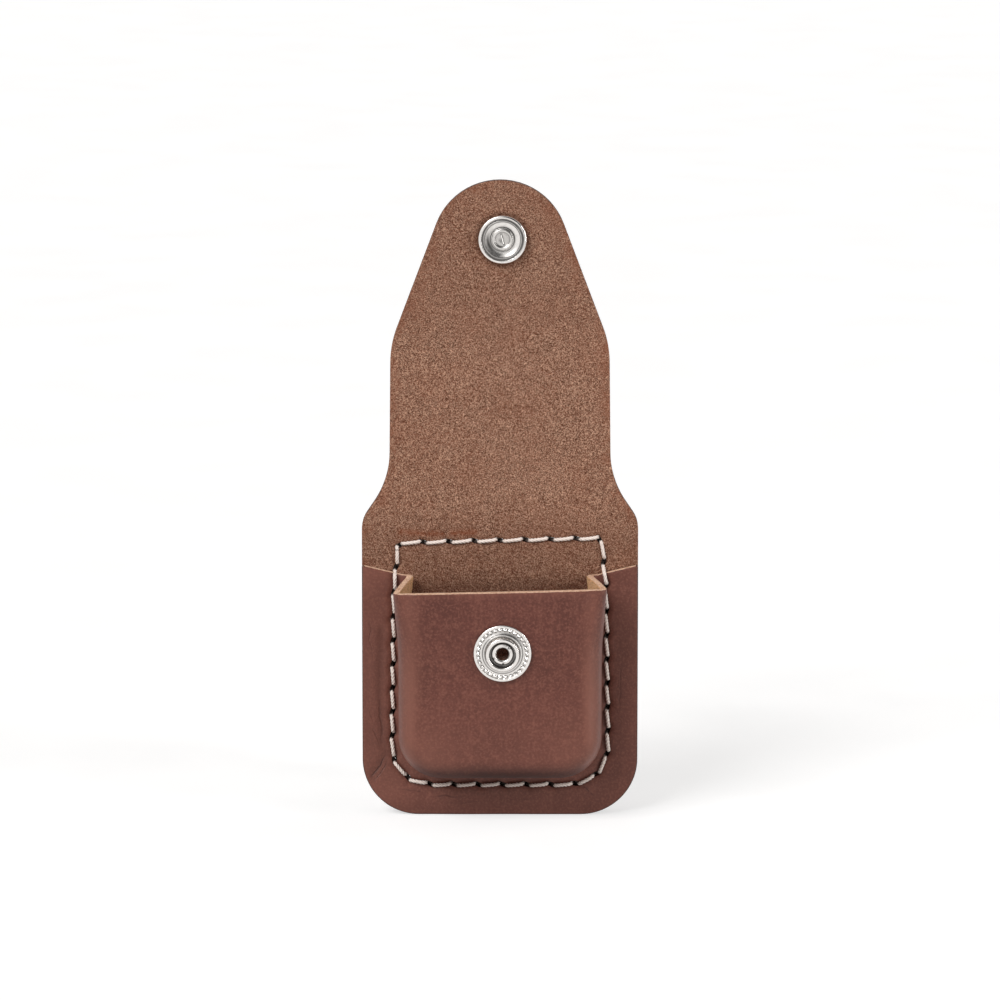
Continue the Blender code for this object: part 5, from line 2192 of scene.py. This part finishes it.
@dataclass
class Snap:
    """The press stud: its cap and socket on the flap, its stud and eyelet on the pocket."""

    sheet: float = 0.4 * MM
    gap: float = 0.15 * MM
    cap_radius: float = 6.25 * MM
    cap_dome: float = 1.5 * MM
    post_radius: float = 1.7 * MM
    roll_radius: float = 2.2 * MM
    roll_height: float = 0.55 * MM
    post_bore: float = 1.45 * MM
    socket_radius: float = 4.85 * MM
    socket_rise: float = 1.6 * MM
    groove_radius: float = 4.12 * MM
    mouth_radius: float = 3.5 * MM
    chamber_radius: float = 3.95 * MM
    rim_radius: float = 5.75 * MM
    rim_height: float = 0.6 * MM
    beads: int = 30
    bead_radius: float = 4.8 * MM
    bead_rise: float = 0.22 * MM
    step_radius: float = 3.95 * MM
    step_rise: float = 0.25 * MM
    neck_radius: float = 2.95 * MM
    head_radius: float = 3.35 * MM
    bore_radius: float = 2.65 * MM
    eyelet_bore: float = 1.25 * MM
    eyelet_radius: float = 1.5 * MM
    eyelet_roll: float = 2.25 * MM
    eyelet_height: float = 0.6 * MM
    eyelet_flange: float = 4.0 * MM
    split_radius: float = 2.05 * MM
    splits: Triple = (0.85, 3.6, 4.8)

    @property
    def floor(self) -> float:
        """Gives the height of the sheet metal's upper side on the leather."""
        return PLAN.seat + self.sheet

    @property
    def socket_top(self) -> float:
        """Gives the height of the socket's rim."""
        return PLAN.seat + self.socket_rise

    @property
    def step_top(self) -> float:
        """Gives the height of the step in the stud."""
        return PLAN.seat + self.rim_height + self.step_rise

    @property
    def stud_top(self) -> float:
        """Gives the height of the stud's head, which stops short of the socket's floor."""
        return self.step_top + self.socket_top - self.floor

    def socket(self) -> TurnedPart:
        """Outlines the socket: its rolled rim, its groove, its mouth and its dish.

        Returns:
            The socket.
        """
        top, seat, floor = self.socket_top, PLAN.seat, self.floor
        return TurnedPart("snap_socket_fine", [
            (self.post_radius + 0.35 * MM, seat, 0),
            (self.socket_radius, seat, 0.18 * MM),
            (self.socket_radius, top, 0.38 * MM),
            (self.groove_radius + 0.1 * MM, top - 0.03 * MM, 0.1 * MM),
            (self.groove_radius, top - 0.3 * MM, 0.04 * MM),
            (self.groove_radius - 0.18 * MM, top - 0.3 * MM, 0.04 * MM),
            (self.groove_radius - 0.26 * MM, top - 0.1 * MM, 0.08 * MM),
            (self.mouth_radius, top - 0.14 * MM, 0.13 * MM),
            (self.mouth_radius, top - 0.42 * MM, 0.08 * MM),
            (self.chamber_radius, top - 0.62 * MM, 0.1 * MM),
            (self.chamber_radius, floor + 0.3 * MM, 0.2 * MM),
            (3.42 * MM, floor + 0.12 * MM, 0.3 * MM),
            (2.95 * MM, floor - 0.06 * MM, 0.9 * MM),
            (2.45 * MM, floor - 0.12 * MM, 0.12 * MM),
            (2.34 * MM, floor + 0.1 * MM, 0.08 * MM),
            (self.post_radius + 0.35 * MM, floor + 0.12 * MM, 0),
        # Painted shade in the grooves and steps; painted dark reflections in the bowl and the
        # groove.
        ], bands=((self.groove_radius - 0.08 * MM, 0.16 * MM, 1.0),
                  (self.mouth_radius + 0.08 * MM, 0.08 * MM, 0.9),
                  (self.chamber_radius, 0.2 * MM, 0.8), (2.42 * MM, 0.12 * MM, 0.9)),
            arcs=((math.radians(205), 0.85, 2.95 * MM, 0.66 * MM, 0.94),
                  (math.radians(5), 0.75, 4.1 * MM, 0.22 * MM, 1.0)))

    def cap(self) -> TurnedPart:
        """Outlines the cap with its post, whose end is rolled over inside the socket.

        Returns:
            The cap.
        """
        under = -PLAN.panel - PLAN.seat
        low = self.floor + self.gap
        top = low + self.roll_height
        return TurnedPart("snap_cap_fine", [
            (0, low + 0.05 * MM, 0), (0.12 * MM, low + 0.05 * MM, 0),
            (0.24 * MM, low + 0.06 * MM, 0), (0.36 * MM, low + 0.07 * MM, 0),
            (0.5 * MM, low + 0.08 * MM, 0), (0.64 * MM, low + 0.1 * MM, 0),
            (0.78 * MM, low + 0.11 * MM, 0), (self.post_bore * 0.65, low + 0.12 * MM, 0),
            (self.post_bore, low + 0.08 * MM, 0.1 * MM),
            (self.post_bore, top - 0.12 * MM, 0.1 * MM),
            (self.post_bore + 0.3 * MM, top, 0.2 * MM),
            (self.roll_radius, top - 0.05 * MM, 0.25 * MM),
            (self.roll_radius, low, 0.1 * MM),
            (self.post_radius, low, 0),
            (self.post_radius, under, 0),
            (self.cap_radius - 0.25 * MM, under, 0.1 * MM),
            (self.cap_radius, under - 0.3 * MM, 0.25 * MM),
            (self.cap_radius - 0.25 * MM, under - 0.72 * MM, 0.3 * MM),
            (self.cap_radius * 0.72, under - self.cap_dome * 0.86, 3 * MM),
            (self.cap_radius * 0.36, under - self.cap_dome * 0.99, 4 * MM),
            (0, under - self.cap_dome, 0),
        # Painted shade at the bore's edge, in the post's middle, round the roll and in the mark.
        ], bands=((self.post_bore, 0.14 * MM, 0.7), (0.0, 1.5 * MM, 0.4),
                  (self.roll_radius - 0.1 * MM, 0.2 * MM, 0.4)),
            marks=(Mark(0.12 * MM, 0.0, math.radians(104), 0.98 * MM, 0.15 * MM),))

    def stud(self) -> TurnedPart:
        """Outlines the stud: its beaded rim, its step, its neck and its head.

        Returns:
            The stud.
        """
        seat, rim, top = PLAN.seat, PLAN.seat + self.rim_height, self.stud_top
        return BeadedRim("snap_stud_fine", [
            (self.post_radius + 0.3 * MM, seat, 0),
            (self.rim_radius, seat, 0.12 * MM),
            (self.rim_radius, rim - 0.06 * MM, 0.2 * MM),
            (self.bead_radius + 0.42 * MM, rim - 0.04 * MM, 0.08 * MM),
            (self.bead_radius + 0.28 * MM, rim - 0.16 * MM, 0.05 * MM),
            (self.bead_radius + 0.12 * MM, rim - 0.12 * MM, 0.05 * MM),
            (self.bead_radius, rim - 0.1 * MM, 0.05 * MM),
            (self.bead_radius - 0.16 * MM, rim - 0.12 * MM, 0.05 * MM),
            (self.bead_radius - 0.34 * MM, rim - 0.16 * MM, 0.05 * MM),
            (self.step_radius + 0.3 * MM, rim - 0.14 * MM, 0.06 * MM),
            (self.step_radius, rim - 0.02 * MM, 0.05 * MM),
            (self.step_radius, self.step_top, 0.14 * MM),
            (self.neck_radius + 0.5 * MM, self.step_top - 0.04 * MM, 0.1 * MM),
            (self.neck_radius, self.step_top - 0.1 * MM, 0.2 * MM),
            (self.neck_radius, top - 0.75 * MM, 0.15 * MM),
            (self.head_radius, top - 0.45 * MM, 0.15 * MM),
            (self.head_radius, top, 0.26 * MM),
            (self.bore_radius, top, 0.2 * MM),
            (self.bore_radius, self.floor, 0.1 * MM),
            (self.post_radius + 0.3 * MM, self.floor, 0),
        # Painted shadow of the beads at the upper right; painted shade at the step, neck and
        # bore.
        ], steps=240, arcs=((math.radians(62), 0.7, 4.36 * MM, 0.13 * MM, 0.9),),
            bands=((self.step_radius + 0.03 * MM, 0.11 * MM, 0.95),
                   (self.neck_radius + 0.48 * MM, 0.09 * MM, 0.95)),
            pit_and_shade=(self.bore_radius + 0.02 * MM, top - 0.15 * MM), beads=self.beads,
            bead_radius=self.bead_radius, bead_rise=self.bead_rise, bead_floor=rim - 0.2 * MM)

    def eyelet(self) -> TurnedPart:
        """Outlines the eyelet: its flange in the pocket, its tube and its roll in the stud.

        Returns:
            The eyelet.
        """
        under = -PLAN.pocket - PLAN.seat
        low = self.floor + self.gap
        top = low + self.eyelet_height
        return TurnedPart("stud_eyelet_fine", [
            (self.eyelet_bore, top - 0.25 * MM, 0.1 * MM),
            (self.eyelet_radius, top, 0.15 * MM),
            (self.eyelet_roll - 0.2 * MM, top - 0.08 * MM, 0.2 * MM),
            (self.eyelet_roll, low + 0.18 * MM, 0.12 * MM),
            (self.eyelet_roll - 0.06 * MM, low, 0.05 * MM),
            (self.eyelet_radius, low, 0),
            (self.eyelet_radius, under, 0),
            (self.eyelet_flange, under, 0.08 * MM),
            (self.eyelet_flange, under - 0.4 * MM, 0.2 * MM),
            (self.eyelet_bore, under - 0.45 * MM, 0.2 * MM),
        # Painted shade inside the bore and in the cuts of the roll.
        ], pit_and_shade=(self.eyelet_bore + 0.05 * MM, top - 0.3 * MM),
            marks=tuple(Mark(self.split_radius * math.cos(turn),
                             self.split_radius * math.sin(turn), turn, 0.34 * MM, 0.2 * MM)
                        for turn in self.splits), mark_depth=0.14 * MM)

    def build(self, pocket: Pocket) -> list[tuple[Piece, str, str]]:
        """Makes the parts of the press stud.

        Args:
            pocket: The pocket that carries the stud.

        Returns:
            Each part with its body and the CAD node that it stands for.
        """
        flap = Vector((PLAN.snap_aside, 0, PLAN.socket_height)), math.pi / 2
        seat = pocket.stud_seat(), math.pi / 2 + pocket.tilt
        return [(self.socket().build(*flap), "flap_tongue", "snap_socket"),
                (self.cap().build(*flap), "flap_tongue", "snap_cap"),
                (self.stud().build(*seat), "pouch", "snap_stud"),
                (self.eyelet().build(*seat), "pouch", "stud_eyelet")]


# The belt clip


@dataclass
class BeltClip:
    """The clip of spring steel behind the pouch, bent from one strip, with its rivets."""

    width: float = 25.0 * MM
    steel: float = 1.0 * MM
    belt_gap: float = 6.0 * MM
    bend_height: float = 50.0 * MM
    base_foot: float = 17.0 * MM
    tongue_straight: float = 17.0 * MM
    tongue_foot: float = 7.0 * MM
    belly: float = 2.2 * MM
    belly_height: float = 12.0 * MM
    flare: float = 1.2 * MM
    corner_length: float = 4.0 * MM
    corner_cut: float = 3.0 * MM
    access_radius: float = 4.2 * MM
    rivet_heights: Pair = (41.0 * MM, 25.0 * MM)
    burr_room: float = 0.5 * MM
    driver_room: float = 4.0 * MM
    shank: float = 1.5 * MM
    shank_room: float = 0.2 * MM
    head_radius: float = 3.4 * MM
    head_rise: float = 0.9 * MM
    burr_radius: float = 3.6 * MM
    recess: float = 1.1 * MM
    edge_round: float = 0.16 * MM
    bend_steps: int = 20
    columns: int = 12

    @property
    def base_front(self) -> float:
        """Gives the front side of the leg that lies on the patch."""
        return PLAN.patch_back + PLAN.seat

    def middle_line(self) -> Array:
        """Lays the strip's middle line, from the foot of the base over the bend.

        Returns:
            The points in Y and Z.
        """
        base = self.base_front + self.steel / 2
        radius = (self.belt_gap + self.steel) / 2
        tongue = base + 2 * radius
        line = [(base, z) for z in
                self.base_foot + self.corner_length * (1 - np.cos(np.linspace(0, 1.5, 8)))]
        line += [(base, z) for z in np.linspace(self.base_foot + 5 * MM, self.bend_height, 16)]
        for angle in np.linspace(math.pi, 0, 2 * self.bend_steps + 1)[1:]:
            line.append((base + radius + radius * math.cos(angle),
                         self.bend_height + radius * math.sin(angle)))
        line += [(tongue, z) for z in
                 np.linspace(self.bend_height, self.tongue_straight, 16)[1:]]
        for share in np.linspace(0, 1, 10)[1:]:
            line.append((tongue - self.belly * (1 - math.cos(math.pi * share)) / 2,
                         self.tongue_straight
                         - (self.tongue_straight - self.belly_height) * share))
        for share in np.sin(np.linspace(0, math.pi / 2, 12))[1:]:
            line.append((tongue - self.belly + (self.belly + self.flare) * share ** 2,
                         self.belly_height - (self.belly_height - self.tongue_foot) * share))
        return np.array(line)

    def build(self, name: str) -> Piece:
        """Makes the clip's strip with its holes.

        Args:
            name: The piece's name.

        Returns:
            The clip.
        """
        line = self.middle_line()
        ends = np.minimum(np.linalg.norm(line - line[0], axis=1),
                          np.linalg.norm(line - line[-1], axis=1)) / self.corner_length
        drawn = self.corner_cut * (1 - np.sqrt(1 - (1 - np.clip(ends, 0, 1)) ** 2))
        half = self.width / 2 - drawn
        across = np.linspace(-1, 1, self.columns + 1)
        strip = add_grid(name, np.stack(np.broadcast_arrays(
            half[:, None] * across, line[:, :1], line[:, 1:]), axis=2))
        apply_modifier(strip, "SOLIDIFY", thickness=self.steel, offset=0, use_even_offset=True)
        with editing(strip, Picking.FACES):
            face_outward()
        back = self.base_front + self.steel
        past = back + PLAN.tool_reach
        drills = self.drills((self.shank + self.shank_room, 0, past, 48),
                             (self.access_radius, past,
                              back + self.belt_gap + self.driver_room, 72))
        carve(strip, *drills)
        remove(*drills)
        round_sharp_edges(strip, self.edge_round, 2)
        y = places_of(strip)[:, 1]
        # Painted shade where the base lies on the patch.
        write_fields(strip, hollow=0.25 * mound(y - self.base_front, 0.4 * MM))
        into_frame(strip)
        shade(strip, math.radians(30))
        return strip

    def drills(self, *bores: tuple[float, float, float, int]) -> list[Piece]:
        """Makes the tools for the holes at both rivets.

        Args:
            *bores: The radius of each hole, where it starts and ends from the front side of
                the panel, and how many sides it has.

        Returns:
            The tools.
        """
        return [add_rod("drill", radius, (low, high), Vector((0, 0, height)), -math.pi / 2,
                        sides)
                for height in self.rivet_heights for radius, low, high, sides in bores]

    def patch_drills(self) -> list[Piece]:
        """Makes the tools that cut the patch for the rivets and their burrs.

        Returns:
            The tools.
        """
        return self.drills(
            (self.shank + self.shank_room, 0, PLAN.patch_back + PLAN.tool_reach, 48),
            (self.burr_radius + self.burr_room, 0, PLAN.patch_front + self.recess, 48))

    def rivets(self) -> list[Piece]:
        """Makes the rivets, from their heads between the legs to their clinched ends.

        Returns:
            The upper rivet and the lower one.
        """
        head = self.base_front + self.steel + 0.15 * MM
        clinch = PLAN.patch_front + self.recess - 0.7 * MM
        profile = [
            (0, clinch - 0.25 * MM, 0), (self.shank + 0.4 * MM, clinch - 0.25 * MM, 0.1 * MM),
            (self.shank + 0.8 * MM, clinch, 0), (self.shank, clinch, 0),
            (self.shank, head, 0), (self.head_radius, head, 0.06 * MM),
            (self.head_radius, head + 0.3 * MM, 0.2 * MM),
            (self.head_radius * 0.66, head + self.head_rise * 0.86, 1.4 * MM),
            (0, head + self.head_rise, 0)]
        # The band is painted shade round the rim of each head.
        return [TurnedPart(name, profile, steps=64, bands=((self.head_radius, 0.3 * MM, 0.5),))
                .build(Vector((0, 0, height)), -math.pi / 2)
                for name, height in zip(("clip_rivet_upper_fine", "clip_rivet_lower_fine"),
                                        self.rivet_heights)]


# The studio


@dataclass
class Studio:
    """The floor, the light and the camera."""

    sensor: float = 36.0
    lens: float = 200.0
    distance: float = 1.1148
    elevation: float = math.radians(9.8)
    target: Vector = field(default_factory=lambda: Vector((0, -8.1 * MM, 11.25 * MM)))
    floor_reach: float = 8.0
    paper_low: Colour = (0.48, 0.48, 0.48, 1)
    paper_high: Colour = (0.52, 0.52, 0.52, 1)
    paper_glow: float = 0.62
    room: float = 0.34
    warm: Colour = (1.0, 0.955, 0.915, 1)
    dark_side: float = 0.94
    key_power: float = 2.02
    strip_power: float = 3.7

    def build(self) -> None:
        """Makes the whole studio."""
        self.floor()
        self.world()
        self.lights()
        self.camera()
        bpy.context.scene.view_settings.view_transform = "Standard"

    def floor(self) -> None:
        """Lays a pale floor under the pouch, which metal at the right sees as darker."""
        low = CAD_LOW.z - 0.05 * MM
        across = np.linspace(-self.floor_reach, self.floor_reach, 33)
        sheet = add_grid("floor", np.stack(np.broadcast_arrays(
            across, across[:, None], low), axis=2))
        graph = MaterialGraph("paper")
        grain = graph.noise(0.03, 2.0)
        colour = graph.mix(grain.above(0.3, 0.7), self.paper_low, self.paper_high)
        right, back, _ = graph.split(graph.spot())
        dark = right.above(0.12, 0.4) * back.above(0.1, -0.1)
        shine = graph.ray("Glossy") * (1.0 - dark * self.dark_side)
        seen = graph.greatest(graph.ray("Camera"), shine) * self.paper_glow
        glow = graph.node("ShaderNodeEmission", Color=WHITE, Strength=seen)
        added = graph.node("ShaderNodeAddShader")
        out = graph.tree.nodes["Material Output"]
        graph.tree.links.new(graph.shader.outputs[0], added.inputs[0])
        graph.tree.links.new(glow.outputs[0], added.inputs[1])
        graph.tree.links.new(added.outputs[0], out.inputs["Surface"])
        sheet.data.materials.append(graph.finish(Base_Color=colour, Roughness=0.9,
                                                 Specular_IOR_Level=0.1))

    def world(self) -> None:
        """Makes the world white where it is seen, and soft and warm where it lights.

        Metal in front sees a darker side of the room at the upper right, as in a studio.
        """
        world = bpy.data.worlds.new("studio")
        bpy.context.scene.world = world
        graph = Graph(world)
        where = graph.node("ShaderNodeTexCoord").outputs["Generated"]
        right, back, up = graph.split(Value(graph, where))
        turned = right * 0.96 + up * 0.12
        dark = turned.above(-0.04, 0.16) * turned.above(1.0, 0.86) * back.above(0.15, -0.25)
        glossy = graph.ray("Glossy") * (1.0 - dark * self.dark_side)
        seen = graph.greatest(graph.ray("Camera"), graph.ray("Transmission"))
        level = graph.greatest(seen, glossy, (1.0 - graph.ray("Glossy")) * self.room)
        plain = graph.greatest(seen, graph.ray("Glossy"))
        sky = graph.tree.nodes["Background"]
        graph.feed(sky.inputs["Color"], graph.mix(plain, self.warm, WHITE))
        graph.feed(sky.inputs["Strength"], level)

    def lights(self) -> None:
        """Lets broad soft light in from the upper left, and hangs a strip at the right."""
        for name, kind, place, power, settings in (
                ("key", "SUN", Vector((-0.55, -0.75, 0.75)), self.key_power,
                 {"angle": math.radians(30)}),
                ("strip", "AREA", Vector((0.76, -0.5, 0.15)), self.strip_power,
                 {"shape": "RECTANGLE", "size": 0.12, "size_y": 0.7})):
            lamp = add(bpy.ops.object.light_add, name, type=kind, location=place)
            lamp.data.energy = power
            for setting, value in settings.items():
                setattr(lamp.data, setting, value)
            lamp.rotation_mode = "QUATERNION"
            lamp.rotation_quaternion = (place - self.target).to_track_quat("Z", "Y")

    def camera(self) -> None:
        """Sets the camera at the photograph's place."""
        data = bpy.data.cameras.new("camera")
        camera = bpy.data.objects.new("camera", data)
        bpy.context.collection.objects.link(camera)
        data.sensor_width = self.sensor
        data.lens = self.lens
        data.clip_start, data.clip_end = 0.01, 20
        back = Vector((0, -math.cos(self.elevation), math.sin(self.elevation)))
        camera.location = self.target + back * self.distance
        camera.rotation_mode = "QUATERNION"
        camera.rotation_quaternion = back.to_track_quat("Z", "Y")
        bpy.context.scene.camera = camera


# Putting it together


@dataclass
class Wardrobe:
    """The materials of the pouch, made once."""

    flesh: Material
    inner_flesh: Material
    grain: Material
    raw_edge: Material
    stained_edge: Material
    hole: Material
    thread: Material
    nickel: Material
    steel: Material

    @classmethod
    def make(cls) -> "Wardrobe":
        """Makes every material.

        Returns:
            The wardrobe.
        """
        return cls(
            flesh=FleshFinish("flap_flesh").make(),
            # The pocket's flesh is a lighter tan, painted brighter still against the shade in the
            # gussets.
            inner_flesh=FleshFinish("pocket_flesh", base=srgb(255, 196, 142),
                                    pit_and_shade=srgb(120, 60, 28), fibre=srgb(255, 214, 168),
                                    edge=srgb(232, 180, 140)).make(),
            grain=GrainFinish("leather_grain").make(),
            raw_edge=CutEdgeFinish("raw_edge").make(),
            stained_edge=CutEdgeFinish("stained_edge", base=srgb(74, 43, 34),
                                       shade=srgb(44, 25, 20), roughness=0.6).make(),
            # The slit walls are painted dark, as painted shade in the slits.
            hole=CutEdgeFinish("slit_wall", base=srgb(92, 56, 46), shade=srgb(60, 34, 27)).make(),
            thread=ThreadFinish("waxed_thread").make(),
            nickel=MetalFinish("bright_nickel").make(),
            steel=MetalFinish("satin_steel", Polish.SATIN, base=srgb(190, 189, 186),
                              along=(1, 1, 0.05)).make())

    def dress(self, thing: Piece, flesh: Material) -> None:
        """Gives a leather piece its five materials.

        Args:
            thing: The piece.
            flesh: The material of its flesh side.
        """
        for slot, material in zip(Slot, (flesh, self.grain, self.raw_edge, self.stained_edge,
                                         self.hole)):
            thing.data.materials[slot.value] = material


def hand_over(piece: Piece, slot: str, *nodes: str) -> None:
    """Lets a finished piece stand for its CAD nodes, and reports it.

    Args:
        piece: The piece.
        slot: The slot of its material in the library; not used.
        *nodes: The CAD nodes.
    """
    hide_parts(*nodes)
    LOG.info("%s: %d faces", piece.name, len(piece.data.polygons))


def fold_heights() -> Pair:
    """Reads the heights of the flap's two folds from the frame's joints."""
    joints = {joint["name"]: joint for joint in frame["joints"]}
    return tuple(joints[name]["pos_m"][2] for name in ("flap_fold_back", "flap_fold_front"))


def build_leather(wardrobe: Wardrobe, stitching: Stitching, pocket: Pocket,
                  clip: BeltClip) -> None:
    """Makes the leather pieces, and puts the pocket and the patch on their bodies.

    Args:
        wardrobe: The materials.
        stitching: The seam.
        pocket: The pocket.
        clip: The belt clip, whose rivets go through the patch.
    """
    panel = Panel()
    awl = stitching.awl()
    back_fold, front_fold = fold_heights()
    middle = (back_fold + front_fold) / 2 - START.z

    shell = pocket.build(stitching, awl)
    wardrobe.dress(shell, wardrobe.inner_flesh)
    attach(shell, "pouch")
    hand_over(shell, "leather_grain", "pocket_front")

    punch = add_rod("punch", PLAN.snap_hole_radius, PLAN.punch_ends,
                    Vector((PLAN.snap_aside, 0, PLAN.socket_height)), math.pi / 2)
    lower = panel.build("panel_lower", 0.0, middle, stitching, [awl])
    upper = panel.build("panel_upper", middle, panel.top, stitching, [punch])
    for piece, bodies, fold, nodes in (
            (lower, ("pouch", "flap_bridge"), back_fold, ("back_panel",)),
            (upper, ("flap_bridge", "flap_tongue"), front_fold,
             ("flap_bridge", "flap_tongue"))):
        reach = panel.fold_zone / 2
        wardrobe.dress(piece, wardrobe.flesh)
        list(bodies)
        fold - reach
        fold + reach
        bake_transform(piece)
        hand_over(piece, "leather_flesh", *nodes)

    drills = clip.patch_drills()
    patch = BackingPatch().build("backing_patch_fine", stitching, [awl, *drills])
    wardrobe.dress(patch, wardrobe.flesh)
    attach(patch, "pouch")
    hand_over(patch, "leather_grain", "backing_patch")
    remove(awl, punch, *drills)


def build_threads(wardrobe: Wardrobe, stitching: Stitching, pocket: Pocket) -> None:
    """Makes the two threads of the seam.

    Args:
        wardrobe: The materials.
        stitching: The seam.
        pocket: The pocket that it goes through.
    """
    for name, first, node in (("thread_front", 0, "seam_thread_1"),
                              ("thread_back", 1, "seam_thread_2")):
        cord = stitching.build(name, first, pocket)
        cord.data.materials.append(wardrobe.thread)
        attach(cord, "pouch")
        hand_over(cord, "thread", node)


def build_metal(wardrobe: Wardrobe, pocket: Pocket, clip: BeltClip) -> None:
    """Makes the press stud, the clip and its rivets.

    Args:
        wardrobe: The materials.
        pocket: The pocket that carries the stud.
        clip: The belt clip.
    """
    parts = Snap().build(pocket)
    for rivet, node in zip(clip.rivets(), ("clip_rivet_upper", "clip_rivet_lower")):
        parts.append((rivet, "pouch", node))
    for part, body, node in parts:
        part.data.materials.append(wardrobe.nickel)
        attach(part, body)
        hand_over(part, "nickel", node)
    strip = clip.build("belt_clip")
    strip.data.materials.append(wardrobe.steel)
    bend = clip.base_front + clip.steel / 2 + START.y
    bend + 1.0 * MM
    bend + 4.0 * MM
    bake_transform(strip)
    hand_over(strip, "spring_steel", "clip_base", "clip_tongue")
    for name in ("socket_spring", "rivet_burr_upper", "rivet_burr_lower"):
        node = frame["nodes"][name]
        node.data.materials.clear()
        node.data.materials.append(wardrobe.steel)


def main() -> None:
    """Builds the pouch and its studio."""
    logging.basicConfig(level=logging.INFO, format="%(message)s")
    wardrobe = Wardrobe.make()
    stitching, pocket, clip = Stitching(), Pocket(), BeltClip()
    build_leather(wardrobe, stitching, pocket, clip)
    build_threads(wardrobe, stitching, pocket)
    build_metal(wardrobe, pocket, clip)
    Studio().build()


if __name__ == "__main__":
    main()
